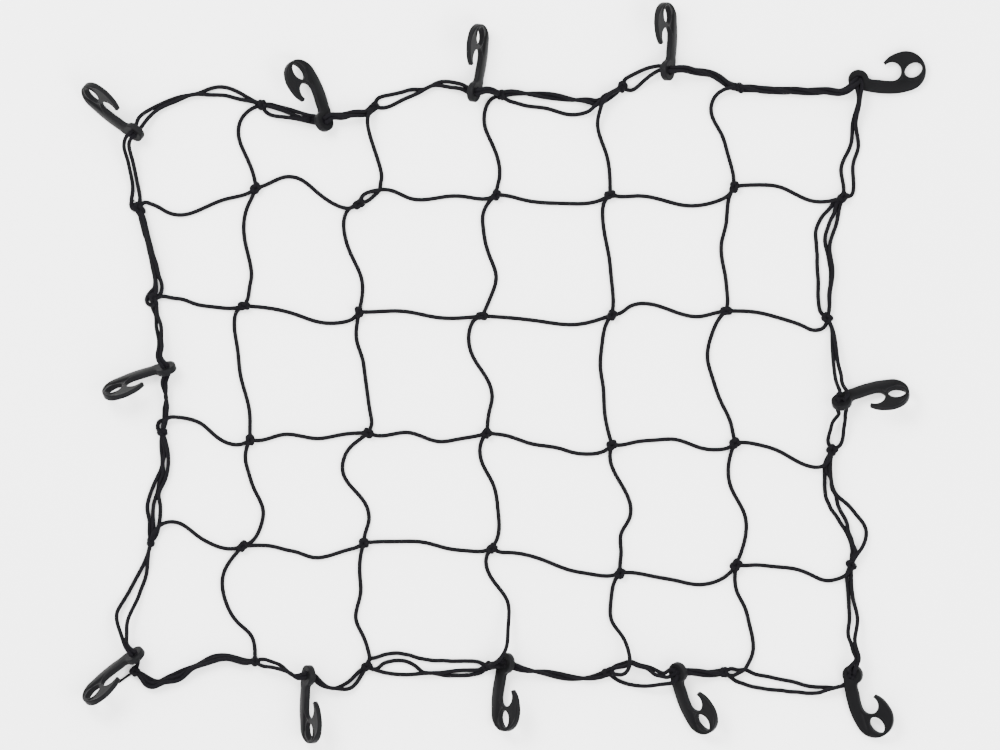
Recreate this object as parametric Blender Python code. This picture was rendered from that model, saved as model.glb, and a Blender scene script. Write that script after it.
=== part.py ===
"""Elastic cargo net with twelve moulded hooks, lying loose on a flat surface.

The net is one knotted web of round elastic cord: six cells across, five down, with a
border of two or three cords side by side. Each hook is threaded on the border through
its eye and leans on its back edge, as the cords let it.

Places in the tables are millimetres to the right of and down from the upper left corner
of the laying-out table. X runs right, Y runs up the layout and Z is up.
"""

import math

import bmesh
import bpy
import numpy as np
from mathutils import Euler, Vector

MM = 0.001
LAYOUT_CENTRE = (503.8, 372.4)      # right, down: the middle of net and hooks together

# Cord
CORD_WIDTH = 3.7
CORD_SIDES = 5
CORD_RADIUS = CORD_WIDTH / 2 / math.sin(math.radians(72))
CORD_HEIGHT = CORD_RADIUS * math.cos(math.pi / CORD_SIDES)     # centre over its flat underside
ROPE_LAY = 60.0                     # length of one full turn of cords laid together
ROPE_STEPS = (6.0, ROPE_LAY / 6)    # shortest, longest step between two rings of a rope
ROPE_SHAPES = {2: (3.6, 0.56), 3: (4.1, 0.74)}      # cords: lobe radius, groove's share of it
TURN_LIMIT = math.radians(36)       # bend taken up between two rings of a tube
CORD_STEPS = (4.0, 46.0)            # shortest, longest step between two rings of a cord
SPLINE_STEP = 1.5
CORD_STAGGER = 0.13                 # each next cord lies this much higher than the one before
STAGGER_CORDS = 4

# Knots
KNOT_RADIUS = 5.2
KNOT_HEIGHT = 7.6
KNOT_RIDGES = 4
KNOT_RINGS = 4                      # steps from the top of a knot to its underside
KNOT_RIDGE_DEPTH = 0.2              # share of the radius lost between two ridges
KNOT_SEAT = 0.7                     # centre over the surface, as a share of half the height
KNOT_LIFT = 1.0                     # how far a cord climbs into its knot

# Hook, flat in its own frame: X from the eye to the head, Y towards the mouth
HOOK_THICKNESS = 6.5
EYE_RADIUS = 10.3
EYE_HOLE_RADIUS = 4.55
HEAD_CENTRE = (47.0, 8.0)
HEAD_RADIUS = 19.2
MOUTH_CENTRE = (34.0, 8.0)
MOUTH_RADIUS = 9.4
WINDOW_CENTRE = (55.4, 9.0)
WINDOW_HALF = (8.6, 8.2)
SHANK_BACK = ((11.0, -11.6), (22.0, -12.6), (34.0, -12.8), (44.0, -12.2))
ARM_BACK = ((35.0, 24.3), (29.5, 20.9))
TIP = ((25.4, 17.6), (27.0, 14.4))
SHANK_FRONT = ((26.0, 0.3), (18.0, 1.5), (12.0, 1.7))

# Cords in a hook's eye
EYE_CORDS_HALF = 6.0                # half the straight run through the hole
EYE_CORDS_END = 4.4                 # where a single cord ends among them
EYE_LEAD = 8.5                      # where a cord turns off the hole's axis
ROPE_EYE_LEAD = 8.4                 # where cords laid together pass the end of the hole's axis
EYE_RUN = 3.2                       # how far a level cord runs past it
EYE_NEAR = 9.5                      # no bow is set nearer to the eye than this
EYE_RISE = 36.0                     # where a cord starts to leave the surface
LANE_STEP = 1.5

# name: right, down
KNOTS = {
    "T1": (262, 105), "T2": (374, 107), "T3": (501, 95), "T4": (622, 87), "T5": (740, 88),
    "L1": (139, 209), "L2": (153, 299), "L3": (162, 430), "L4": (151, 542), "BL": (135, 671),
    "R1": (843, 197), "R2": (827, 318), "R3": (832, 450), "R4": (851, 565),
    "B1": (255, 661), "B2": (367, 666), "B3": (487, 666), "B4": (608, 672), "B5": (724, 672),
    "K11": (256, 188), "K12": (359, 204), "K13": (496, 195), "K14": (610, 195), "K15": (734, 187),
    "K21": (244, 306), "K22": (359, 312), "K23": (482, 316), "K24": (612, 315), "K25": (726, 311),
    "K31": (250, 440), "K32": (368, 433), "K33": (487, 433), "K34": (612, 445), "K35": (735, 443),
    "K41": (243, 546), "K42": (364, 543), "K43": (492, 548), "K44": (620, 573), "K45": (736, 565),
}

# name: right, down (of the eye), heading, pitch, roll. The heading is in degrees from X.
# Roll 0 lies flat with the mouth on the left of the heading, and 180 with it on the right.
HOOKS = {
    "01": (136.0, 131.0, 142.0, 0, 116),
    "02": (323.0, 121.0, 110.5, 0, 44),
    "03": (473.5, 92.0, 81.7, 0, 65),
    "04": (667.0, 71.0, 87.0, 0, 62),
    "05": (858.0, 79.5, 0.0, 3.6, -2),
    "06": (166.5, 369.0, 197.5, 0, 65),
    "07": (841.0, 402.0, 15.0, 0, 132),
    "08": (136.0, 655.0, 218.5, 0, 64),
    "09": (309.0, 674.0, 268.5, 0, 65),
    "10": (507.0, 663.0, 263.5, 0, 53),
    "11": (678.0, 671.5, 291.5, 0, 44),
    "12": (853.0, 674.0, 287.0, 0, 27),
}

# from, to, bows, lane. A bow is how far the cord lies to the left of the straight way, at
# even shares of it. Places are knots, or the upper (+) or lower (-) side of a hook's eye.
# The lane is the cord's place among the cords in the eye. In ROPES, the last column is how
# many cords are laid together.
DOWN_CORDS = (
    ("T1", "K11", (-16, -22.5, -22, -16, -10, -4), 0),
    ("K11", "K21", (-7, -8, -3, 4, 5), 0),
    ("K21", "K31", (-10.5, -7.5, -6, -1, 2), 0),
    ("K31", "K41", (-4, 2, 11.5, 18, 16), 0),
    ("K41", "B1", (-17.5, -24.5, -23, -13.5, 1), 0),
    ("T2", "K12", (-4, 1.5, 9.5, 17, 19), 0),
    ("K12", "K22", (-15, -11, -4, 2, 6), 0),
    ("K22", "K32", (-3, -1.5, 1, 3, 5), 0),
    ("K32", "K42", (-16, -23.5, -14, 0, 4.5), 0),
    ("K42", "B2", (-4.5, -4, -7.5, -7.5, -0.5), 0),
    ("T3", "K13", (-16.5, -14.5, -6, 1, 2.5), 0),
    ("K13", "K23", (-11.5, -7.5, 0.5, 10.5, 9.5), 0),
    ("K23", "K33", (-11, -9.5, 0, 6.5, 5), 0),
    ("K33", "K43", (-7, -5.5, 1.5, 5.5, 5.5), 0),
    ("K43", "B3", (-4, 11, 19, 20, 17.5), 0),
    ("T4", "K14", (-18.5, -20, -14, -7, -3), 0),
    ("K14", "K24", (-8.5, -7.5, -3, 0, 0.5), 0),
    ("K24", "K34", (-8, -11.5, -11.5, -7.5, -2), 0),
    ("K34", "K44", (7.5, 15, 13.5, 3.5, 3.5), 0),
    ("K44", "B4", (-3.5, -5.5, -0.5, 10.5, 19.5), 0),
    ("T5", "K15", (-25, -27, -22, -15, -9, -3.5), 0),
    ("K15", "K25", (-5.5, -6.5, -9, -4, 0), 0),
    ("K25", "K35", (-16, -22, -18.5, -11.5, -2.5), 0),
    ("K35", "K45", (-7, -6, 4.5, 11.5, 7.5), 0),
    ("K45", "B5", (1.5, 8.5, 18, 25, 26), 0),
)
ACROSS_CORDS = (
    ("L1", "K11", (-1, -12.5, -11.5, -6.5, -5.5), 0),
    ("K11", "K12", (9.5, 17, 12, 1.5, -6), 0),
    ("K12", "K13", (14, 11.5, 3, 0, 2, 0.5, -2), 0),
    ("K13", "K14", (-2.5, -7, -8, -8.5, -7), 0),
    ("K14", "K15", (-2, -6, -12, -16.5, -14), 0),
    ("K15", "R1", (3, 5.5, 0, -6.5, -6.5), 0),
    ("L2", "K21", (3, 1.5, -2.5, -3.5, -3), 0),
    ("K21", "K22", (0.5, -2.5, -7, -12, -11.5), 0),
    ("K22", "K23", (1.5, 3.5, 1.5, -1, -2.5), 0),
    ("K23", "K24", (0.5, -3, -6.5, -8, -6.5), 0),
    ("K24", "K25", (8.5, 8.5, 3.5, -1.5, -4), 0),
    ("K25", "R2", (1, 0.5, -2.5, -6.5, -13), 0),
    ("L3", "K31", (15, 14.5, 7, -3.5, -7.5), 0),
    ("K31", "K32", (0.5, 2.5, -0.5, -1.5, 0), 0),
    ("K32", "K33", (1, 0, -4, -7, -6), 0),
    ("K33", "K34", (2, 1.5, -2, -9, -10.5), 0),
    ("K34", "K35", (3.5, 6, 4.5, 0.5, -1.5), 0),
    ("K35", "R3", (0.5, -1.5, -7.5, -15, -18), 0),
    ("L4", "K41", (20, 19, 10, 1, -2.5), 0),
    ("K41", "K42", (0, -3.5, -10, -13.5, -8), 0),
    ("K42", "K43", (2.5, 4, 2.5, -2, -5), 0),
    ("K43", "K44", (0.5, -0.5, -4, -7, -6.5), 0),
    ("K44", "K45", (-1.5, -7, -13.5, -17.5, -14.5), 0),
    ("K45", "R4", (0, -0.5, -3.5, -11, -15.5), 0),
)
TOP_CORDS = (
    ("T1", "01-", (-14.5, -25.5, -28, -25.5, -25.5, -22.5, -18.5), 1),
    ("T1", "01-", (-10, -17.5, -21.5, -24, -21, -18.5, -10.5), -1),
    ("T1", "02-", (4.5, 4.5, 3.5), 1),
    ("T1", "02-", (1.5, 0, -1), 0),
    ("T1", "02-", (-5.5, -4.5, -4), -1),
    ("T2", "03-", (10.5, 12, 11.5, 16, 12.5), 1),
    ("T2", "03-", (-1.5, 3, 8, 12, 6), -1),
    ("T3", "03+", (-4.5,), -1),
    ("T3", "03+", (-0.5,), 1),
    ("T3", "T4", (-10.5, -15, -21.5, -25, -13), 0),
    ("T4", "04-", (8.5, 10, 9), 1),
    ("T4", "04-", (-7, -2.5, 1), -1),
)
RIGHT_CORDS = (
    ("R1", "05-", (3, 6, 1.5, -0.5, 0.5, 0.5, 0), 1),
    ("R1", "05-", (-9.5, -6, -8.5, -7, -3.5, -4, -4.5), -1),
    ("R1", "R2", (-19.5, -22.5, -18, -14.5, -11.5), 0),
    ("R1", "R2", (-10, -13, -8.5, -4.5, -1.5), 0),
    ("R1", "R2", (-2.5, -7, -4, 0, 1.5), 0),
    ("R2", "07+", (1, -1.5, -1.5), -1),
    ("R2", "07+", (4.5, 5, 4.5), 1),
    ("R3", "07-", (6.5, 5, 1), 1),
    ("R3", "07-", (-8.5, -8, -7), -1),
    ("R3", "R4", (-10, -14, -10, -2.5, 2), 0),
    ("R3", "R4", (-3.5, -4, -1, 3, 6.5), 0),
    ("R3", "R4", (-3, -3.5, 8, 19.5, 17.5), 0),
    ("R4", "12-", (-5, -4, -3, -4, 1), -1),
    ("R4", "12-", (1.5, 3, 5, 2, 3.5), 1),
)
BOTTOM_CORDS = (
    ("B5", "12+", (2.5, -4.5, -8.5, -12, -13.5), 1),
    ("B5", "12+", (-12, -16.5, -17.5, -18.5, -15.5), -1),
    ("B4", "11+", (8, 9.5, 8, 4.5, 0), 1),
    ("B4", "11+", (6.5, 8.5, 4, -1.5, -4), 0),
    ("B4", "11+", (-9, -13, -14.5, -14, -11.5), -1),
    ("B2", "B3", (13.5, 13, 7.5, 5.5, 5), 0),
    ("B2", "B3", (4, 4, -6, -10, -9.5), 0),
    ("B2", "B3", (-6.5, -9, -6, -4, -4), 0),
    ("B2", "09-", (4, 10, 16, 14.5, 7.5), -1),
    ("B2", "09-", (13, 21, 20, 16, 10), 1),
    ("B1", "09+", (4.5, 0, -3), 1),
    ("B1", "09+", (-2, -2.5, -4), -1),
    ("BL", "08-", (0,), 0),
)
LEFT_CORDS = (
    ("L4", "08+", (-3, -10.5, -19, -24, -18), -1),
    ("L4", "08+", (0.5, 1, -4.5, -11, -12), 1),
    ("L3", "L4", (1.5, 1.5, -6, -7.5, -5), 0),
    ("L3", "L4", (4.5, 5.5, 1.5, -1, 0), 0),
    ("L3", "L4", (9, 11, 6, 4.5, 5.5), 0),
    ("L3", "06-", (-1, -0.5, 1.5), -1),
    ("L3", "06-", (-3.5, -2, -1.5), 1),
    ("L2", "06+", (-1, -2, -4), -1),
    ("L2", "06+", (3.5, 3.5, 0.5), 1),
    ("L1", "L2", (-0.5, 1.5, 3.5, 4.5, 4), 0),
    ("L1", "L2", (3.5, 6, 8.5, 9, 8.5), 0),
    ("L1", "L2", (6, 8, 9.5, 11, 12), 0),
    ("L1", "01+", (7, 7, 9, 12, 13), -1),
    ("L1", "01+", (-1, 0.5, 3, 6.5, 8), 1),
)
ROPES = (
    ("T2", "02+", (2, 0.5, -2), 3),
    ("T3", "T4", (0.5, -3, -7.5, -11, -12), 2),
    ("T5", "04+", (-3.5, -7, -7), 3),
    ("T5", "05+", (-2.5, -4.5, -6, -7, -7.5, -9, -10.5, -8), 3),
    ("B5", "11-", (0.5, 0.5, 0.5), 3),
    ("B4", "10-", (6.5, 7.5, 6, 4.5, 3), 3),
    ("B3", "10+", (0,), 3),
    ("BL", "B1", (-16.5, -8, -1, 6, 6), 3),
)
TAIL = ("BL", (118.5, 682.5), 1.1)      # the border's free end: knot, place, radius


def clear_scene():
    for item in list(bpy.data.objects):
        bpy.data.objects.remove(item, do_unlink=True)


def new_collection(name):
    collection = bpy.data.collections.new(name)
    bpy.context.scene.collection.children.link(collection)
    return collection


def make_material(name, colour, roughness):
    material = bpy.data.materials.new(name)
    material.use_nodes = True
    shader = material.node_tree.nodes["Principled BSDF"]
    shader.inputs["Base Color"].default_value = (*colour, 1.0)
    shader.inputs["Roughness"].default_value = roughness
    shader.inputs["Metallic"].default_value = 0.0
    return material


def lay_out(right, down, up=0.0):
    """A place of the layout, in millimetres from the middle of the part."""
    return Vector((right - LAYOUT_CENTRE[0], LAYOUT_CENTRE[1] - down, up))


def add_object(name, mesh, collection, material=None):
    item = bpy.data.objects.new(name, mesh)
    collection.objects.link(item)
    if material:
        mesh.materials.clear()
        mesh.materials.append(material)
    return item


# Curves ---------------------------------------------------------------------------------

def smooth_curve(points):
    """Close points along the natural cubic spline through the given ones."""
    knots = np.array([tuple(point) for point in points])
    spans = np.linalg.norm(np.diff(knots, axis=0), axis=1)
    count = len(knots)
    matrix = np.eye(count)
    rates = np.zeros_like(knots)
    for row in range(1, count - 1):
        before, after = spans[row - 1], spans[row]
        matrix[row, row - 1:row + 2] = before, 2 * (before + after), after
        slopes = (knots[row + 1] - knots[row]) / after - (knots[row] - knots[row - 1]) / before
        rates[row] = 6 * slopes
    bends = np.linalg.solve(matrix, rates)
    fine = []
    for row, span in enumerate(spans):
        for share in np.linspace(0, 1, max(2, round(span / SPLINE_STEP)), endpoint=False):
            rest = 1 - share
            point = rest * knots[row] + share * knots[row + 1]
            point += span ** 2 / 6 * ((rest ** 3 - rest) * bends[row])
            point += span ** 2 / 6 * ((share ** 3 - share) * bends[row + 1])
            fine.append(Vector(point))
    fine.append(Vector(knots[-1]))
    return fine


def thin_out(fine, shortest, longest):
    """Keep the points that a tube needs to follow the bends."""
    kept = [fine[0]]
    turned = 0.0
    heading = (fine[1] - fine[0]).normalized()
    for before, point, after in zip(fine, fine[1:], fine[2:]):
        step = (after - point).normalized()
        turned += heading.angle(step, 0.0)
        heading = step
        gone = (point - kept[-1]).length
        if gone > longest or turned > TURN_LIMIT and gone > shortest:
            kept.append(point)
            turned = 0.0
    if (fine[-1] - kept[-1]).length < shortest and len(kept) > 2:
        kept.pop()
    kept.append(fine[-1])
    return kept


def frames_along(points):
    """The forward, side and top directions at each point, turning as little as they can."""
    frames = []
    top = Vector((0, 0, 1))
    for index in range(len(points)):
        behind = points[max(index - 1, 0)]
        ahead = points[min(index + 1, len(points) - 1)]
        forward = (ahead - behind).normalized()
        top = (top - forward * top.dot(forward)).normalized()
        frames.append((forward, forward.cross(top), top))
    return frames


def tube(points, profile):
    """A closed tube. profile gives (side, top) for a ring, by its distance along the way."""
    body = bmesh.new()
    rings = []
    gone = 0.0
    for index, (point, (_, side, top)) in enumerate(zip(points, frames_along(points))):
        gone += (point - points[max(index - 1, 0)]).length
        ring = []
        for across, up in profile(gone):
            corner = point + side * across + top * up
            corner.z = max(corner.z, 0.0) if abs(corner.z) > 0.01 else 0.0
            ring.append(body.verts.new(corner * MM))
        rings.append(ring)
    for ring, following in zip(rings, rings[1:]):
        for index in range(len(ring)):
            left, right = index - 1, index
            body.faces.new((ring[left], following[left], following[right], ring[right]))
    body.faces.new(rings[0])
    body.faces.new(reversed(rings[-1]))
    bmesh.ops.recalc_face_normals(body, faces=body.faces)
    return body


def split_faces(body):
    """Triangles for a twisted tube, whose four-cornered faces aren't flat."""
    bmesh.ops.triangulate(body, faces=body.faces)
    return body


def cord_profile(radius):
    """A five-sided ring with a flat underside."""
    first = -math.pi / 2 + math.pi / CORD_SIDES
    angles = [first + 2 * math.pi * index / CORD_SIDES for index in range(CORD_SIDES)]
    ring = [(radius * math.cos(angle), radius * math.sin(angle)) for angle in angles]
    return lambda gone: ring


def rope_profile(count):
    """A ring with a lobe for each cord, which turns with the lay of the cords."""
    radius, groove = ROPE_SHAPES[count]

    def ring(gone):
        turn = 2 * math.pi * gone / ROPE_LAY
        corners = []
        for index in range(2 * count):
            reach = radius * (groove if index % 2 else 1.0)
            angle = turn + math.pi * index / count
            corners.append((reach * math.cos(angle), reach * math.sin(angle)))
        return corners
    return ring


# Hooks ----------------------------------------------------------------------------------

def arc(centre, radii, start, end, steps):
    """Points on an ellipse from start to end, in degrees."""
    points = []
    for index in range(steps + 1):
        angle = math.radians(start + (end - start) * index / steps)
        points.append((centre[0] + radii[0] * math.cos(angle), centre[1] + radii[1] * math.sin(angle)))
    return points


def hook_outline():
    eye = arc((0, 0), (EYE_RADIUS, EYE_RADIUS), 12, 280, 8)
    head = arc(HEAD_CENTRE, (HEAD_RADIUS, HEAD_RADIUS), -70, 103, 9)
    mouth = arc(MOUTH_CENTRE, (MOUTH_RADIUS, MOUTH_RADIUS), 128, -84, 8)
    return [*eye, *SHANK_BACK, *head, *ARM_BACK, *TIP, *mouth, *SHANK_FRONT]


def add_loop(curve, points):
    loop = curve.splines.new("POLY")
    loop.points.add(len(points) - 1)
    for place, (along, across) in zip(loop.points, points):
        place.co = (along * MM, across * MM, 0.0, 1.0)
    loop.use_cyclic_u = True


def hook_mesh():
    """The flat moulded hook: its outline with the eye's hole and the window."""
    curve = bpy.data.curves.new("hook_outline", "CURVE")
    curve.dimensions = "2D"
    curve.fill_mode = "BOTH"
    curve.extrude = HOOK_THICKNESS / 2 * MM
    add_loop(curve, hook_outline())
    add_loop(curve, arc((0, 0), (EYE_HOLE_RADIUS, EYE_HOLE_RADIUS), 0, 324, 9))
    add_loop(curve, arc(WINDOW_CENTRE, WINDOW_HALF, 0, 324, 9))
    drawn = bpy.data.objects.new("hook_outline", curve)
    bpy.context.scene.collection.objects.link(drawn)
    bpy.context.view_layer.update()
    evaluated = drawn.evaluated_get(bpy.context.evaluated_depsgraph_get())
    mesh = bpy.data.meshes.new_from_object(evaluated)
    mesh.name = "hook"
    bpy.data.objects.remove(drawn, do_unlink=True)
    body = bmesh.new()
    body.from_mesh(mesh)
    bmesh.ops.remove_doubles(body, verts=body.verts, dist=0.00005)
    bmesh.ops.recalc_face_normals(body, faces=body.faces)
    body.to_mesh(mesh)
    body.free()
    return mesh


def build_hooks(collection, material):
    """Place the hooks, each down on the surface, and return where their eyes are."""
    mesh = hook_mesh()
    mesh.materials.append(material)
    eyes = {}
    for name, (right, down, heading, pitch, roll) in HOOKS.items():
        turn = Euler((math.radians(roll), math.radians(pitch), math.radians(heading)))
        lowest = min((turn.to_matrix() @ vertex.co).z for vertex in mesh.vertices)
        item = add_object(f"hook_{name}", mesh, collection)
        item.rotation_euler = turn
        item.location = lay_out(right, down) * MM
        item.location.z = -lowest
        axis = turn.to_matrix() @ Vector((0, 0, 1))
        if axis.z < 0:
            axis.negate()
        eyes[name] = (item.location / MM, axis)
    return eyes


# Net ------------------------------------------------------------------------------------

def bowed_way(start, end, bows):
    """Points between two places, each set off to the left of the straight way."""
    way = end - start
    left = Vector((-way.y, way.x, 0)).normalized()
    points = []
    for index, bow in enumerate(bows, 1):
        points.append(start + way * (index / (len(bows) + 1)) + left * bow)
    return points


def facing_eye(end_name, eyes):
    """An eye's middle, and the way out of its hole on the side that the cord comes from."""
    eye, axis = eyes[end_name[:2]]
    return eye, axis if end_name[2] == "+" else -axis


def cord_way(start_name, end_name, bows, eyes, height):
    """The points that a cord passes before its end, and the end if it is a knot."""
    start = lay_out(*KNOTS[start_name])
    start.z = height
    if end_name in KNOTS:
        end = lay_out(*KNOTS[end_name])
        points = [start, *bowed_way(start, end, bows), end]
        for point in points:
            point.z = height
        return points
    eye, facing = facing_eye(end_name, eyes)
    lead = eye + facing * EYE_LEAD
    level_eye = Vector((eye.x, eye.y, 0))
    points = [start]
    for point in bowed_way(Vector((start.x, start.y, 0)), level_eye, bows):
        away = (point - level_eye).length
        if away > EYE_NEAR:
            share = min(max((EYE_RISE - away) / (EYE_RISE - EYE_LEAD), 0.0), 1.0)
            point.z = height + max(lead.z - height, 0.0) * share ** 2 * (3 - 2 * share)
            points.append(point)
    return points


def knot_body(name):
    """A pressed ball with one ridge for each cord that leaves it, flat where it lies."""
    body = bmesh.new()
    bmesh.ops.create_uvsphere(body, u_segments=2 * KNOT_RIDGES, v_segments=KNOT_RINGS, radius=1.0)
    centre = lay_out(*KNOTS[name])
    for vertex in body.verts:
        angle = math.atan2(vertex.co.y, vertex.co.x)
        ridge = 1 - KNOT_RIDGE_DEPTH * (0.5 - 0.5 * math.cos(KNOT_RIDGES * angle))
        place = centre + Vector((vertex.co.x * ridge, vertex.co.y * ridge, 0)) * KNOT_RADIUS
        height = KNOT_HEIGHT / 2 * (KNOT_SEAT + vertex.co.z)
        vertex.co = Vector((place.x, place.y, max(height, 0.0))) * MM
    return body


def eye_cords(eye, axis):
    """The cords where they run bunched and straight through the hole of an eye."""
    ends = [eye - axis * EYE_CORDS_HALF, eye, eye + axis * EYE_CORDS_HALF]
    return split_faces(tube(ends, rope_profile(3)))


def tail_body():
    knot, place, radius = TAIL
    start = lay_out(*KNOTS[knot], radius * math.cos(math.pi / CORD_SIDES))
    end = lay_out(*place, start.z)
    return tube([start, (start + end) / 2, end], cord_profile(radius))


def laid_tube(points, into_knot, steps, profile):
    """A tube along the points, its ends lifted into the knots."""
    way = thin_out(smooth_curve(points), *steps)
    way[0].z += KNOT_LIFT
    if into_knot:
        way[-1].z += KNOT_LIFT
    return tube(way, profile)


def cord_body(start_name, end_name, bows, lane, eyes, height):
    points = cord_way(start_name, end_name, bows, eyes, height)
    if end_name not in KNOTS:
        eye, facing = facing_eye(end_name, eyes)
        across = facing.cross(Vector((0, 0, 1))).normalized() * (lane * LANE_STEP)
        lead = eye + facing * EYE_LEAD + across
        inside = eye + facing * EYE_CORDS_END + across
        if lead.z < height:
            lead.z = height
            inside = lead + (lead - points[-1]).normalized() * EYE_RUN
        points += [lead, inside]
    return laid_tube(points, end_name in KNOTS, CORD_STEPS, cord_profile(CORD_RADIUS))


def rope_body(start_name, end_name, bows, count, eyes):
    height = ROPE_SHAPES[count][0] * 0.9
    points = cord_way(start_name, end_name, bows, eyes, height)
    if end_name not in KNOTS:
        eye, facing = facing_eye(end_name, eyes)
        lead = eye + facing * ROPE_EYE_LEAD
        lead.z = max(lead.z, height)
        points += [lead, lead + (lead - points[-1]).normalized() * EYE_RUN]
    return split_faces(laid_tube(points, end_name in KNOTS, ROPE_STEPS, rope_profile(count)))


def net_bodies(eyes):
    cords = (*DOWN_CORDS, *ACROSS_CORDS, *TOP_CORDS, *RIGHT_CORDS, *BOTTOM_CORDS, *LEFT_CORDS)
    for index, row in enumerate(cords):
        yield cord_body(*row, eyes, CORD_HEIGHT + CORD_STAGGER * (index % STAGGER_CORDS))
    for row in ROPES:
        yield rope_body(*row, eyes)
    for eye, axis in eyes.values():
        yield eye_cords(eye, axis)
    yield tail_body()
    for name in KNOTS:
        yield knot_body(name)


def build_net(eyes, parts, cutters, material):
    """Join all the cords and knots into the one solid that the net is."""
    net = None
    for index, body in enumerate(net_bodies(eyes)):
        mesh = bpy.data.meshes.new(f"cord_{index:03d}")
        body.to_mesh(mesh)
        body.free()
        if net is None:
            net = add_object("net", mesh, parts)
            continue
        joined = add_object(f"cord_{index:03d}", mesh, cutters)
        joined.hide_render = True
        joined.display_type = "WIRE"
    union = net.modifiers.new("join_cords", "BOOLEAN")
    union.operation = "UNION"
    union.solver = "EXACT"
    union.operand_type = "COLLECTION"
    union.collection = cutters
    net.data.materials.append(material)
    return net


def main():
    clear_scene()
    parts = new_collection("cargo_net")
    cutters = new_collection("cargo_net_joined_cords")
    cord = make_material("elastic_cord", (0.016, 0.016, 0.02), 0.8)
    plastic = make_material("hook_plastic", (0.019, 0.019, 0.021), 0.42)
    eyes = build_hooks(parts, plastic)
    build_net(eyes, parts, cutters, cord)


main()
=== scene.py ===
"""Looks of the elastic cargo net: braided cords, tied knots, moulded hooks and the stage.

Places in the tables are millimetres to the right of and down from the upper left corner
of the laying-out table. X runs right, Y runs up the layout and Z is up.
"""

import math

import bmesh
import bpy
import numpy as np
from bpy.props import FloatProperty, FloatVectorProperty, IntProperty, PointerProperty
from mathutils import Euler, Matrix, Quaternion, Vector
from mathutils.geometry import delaunay_2d_cdt


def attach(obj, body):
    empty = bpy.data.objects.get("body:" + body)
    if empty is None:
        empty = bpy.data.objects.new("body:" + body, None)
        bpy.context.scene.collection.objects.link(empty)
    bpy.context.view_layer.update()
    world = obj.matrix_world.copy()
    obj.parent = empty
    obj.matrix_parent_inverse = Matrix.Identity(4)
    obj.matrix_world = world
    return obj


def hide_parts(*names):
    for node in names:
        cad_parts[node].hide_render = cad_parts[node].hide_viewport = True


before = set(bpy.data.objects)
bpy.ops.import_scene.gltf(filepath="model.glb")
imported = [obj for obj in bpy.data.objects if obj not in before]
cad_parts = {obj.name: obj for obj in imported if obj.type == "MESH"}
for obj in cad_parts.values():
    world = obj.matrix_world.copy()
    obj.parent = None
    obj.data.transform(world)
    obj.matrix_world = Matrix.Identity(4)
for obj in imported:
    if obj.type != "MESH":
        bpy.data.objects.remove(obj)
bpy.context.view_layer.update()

bl_info = {
    "name": "Elastic Cargo Net",
    "version": (1, 0, 0),
    "blender": (4, 5, 0),
    "location": "View3D > Sidebar > Cargo Net",
    "description": "Lays out a knotted elastic cargo net with its moulded hooks",
    "category": "Object",
}

MM = 0.001
LAYOUT_CENTRE = (503.8, 372.4)      # right, down: the middle of net and hooks together

# Stage, in metres
VIEW_CENTRE = (500, 375)            # right, down: the place of the layout under the camera
SENSOR_WIDTH = 36.0                 # of the camera, in millimetres
FLOOR_HALF = 6.0                    # half the floor's side
FLOOR_DROP = 0.0003                 # how far the floor lies under the net
WORLD_ZENITH = 3.7                  # brightness of the surround overhead
WORLD_HORIZON = 0.6                 # and what the horizon adds
LIGHTS = (                          # name, place, size, power in watts
    ("key", (-1.2, 1.2, 2.4), 1.2, 130),
    ("fill", (1.5, -0.8, 2.4), 1.4, 80),
)

# Finishes. Tones are the darkest and the lightest, as shares of the piece's own colour.
CORD_TONES = (0.55, 1.75)
CORD_HIGHLIGHT_AND_WEAR = (0.55, 0.3, 0.25)      # how much the painted highlight on the yarns' crowns, wear and fuzz lighten the cover
CORD_ROUGHNESS = 0.92
YARN_SHEEN = 0.16                   # how much smoother the top of a yarn is
FUZZ_RELIEF = 0.35                  # height of the fuzz, as a share of a yarn's
HOOK_TONES = (0.8, 1.9)
HOOK_HIGHLIGHT_AND_CLOUD = (0.45, 0.4)            # how much the painted highlight along the rims and cloudy patches lighten the plastic
HOOK_DULLING = (0.08, 0.16)         # and how much rougher they make it
FLOOR_TONES = (0.99, 1.0)

# Cord routes, in millimetres
ROUTE_STEP = 2.0                    # between two rings of a cord
KNOT_ZONE = 8.0                     # cords this near to a knot's middle belong to it
KNOT_MIDDLE = 4.0                   # height of a knot's middle
KNOT_RISE = 2.0                     # how far a knot's loops rise and fall
KNOT_RISE_SPREAD = (0.88, 1.08)     # shares of it that the knots have
KNOT_SIZE = 1.08                    # cords that are drawn tight still swell a knot
KNOT_TILT = 0.18                    # how far a knot leans at most, in radians
KNOT_SEED = 12
KNOT_LOOP = (1.26, 0.65, 1.0)       # half length, half width and rise of a knot's unit loop
KNOT_LOOP_STEPS = 28
EYE_LEAD = 8.5                      # height of a cord over the middle of a hook's eye
EYE_MOUTH = 4.6                     # where it enters the hole, along the hole's axis
EYE_PAST = 3.6                      # how far it runs past the hole's middle
EYE_RIM = 6.5                       # where it lies on the rim of an eye that lies flat
EYE_DIP = (1.5, 1.0)                # then from the eye's middle, and below the hook's face
EYE_SQUEEZE = 0.8                   # share of the lanes' width that is left in the hole
EYE_FLAT = 0.6                      # an eye's axis steeper than this means that it lies flat
EYE_LEVEL = 0.8                     # and steeper than this, that it lies level
EYE_ROW = 1.9                       # cords of one side lie this far from the other side's
EYE_FILL = 2.7                      # half the length of the cords that fill a hole
EYE_FILLERS = 12                    # how many there are
EYE_PRESS = 0.2                     # and how far they press into its wall
EYE_CLEAR = 3.6                     # no place of a route lies nearer than this to its eye's rim
EYE_RISE = 36.0                     # where a cord starts to leave the surface
EYE_ZONE = 15.0                     # cords this near to an eye aren't stacked
STACK_SLOPE = 0.3                   # how steeply a cord climbs over another
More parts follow.
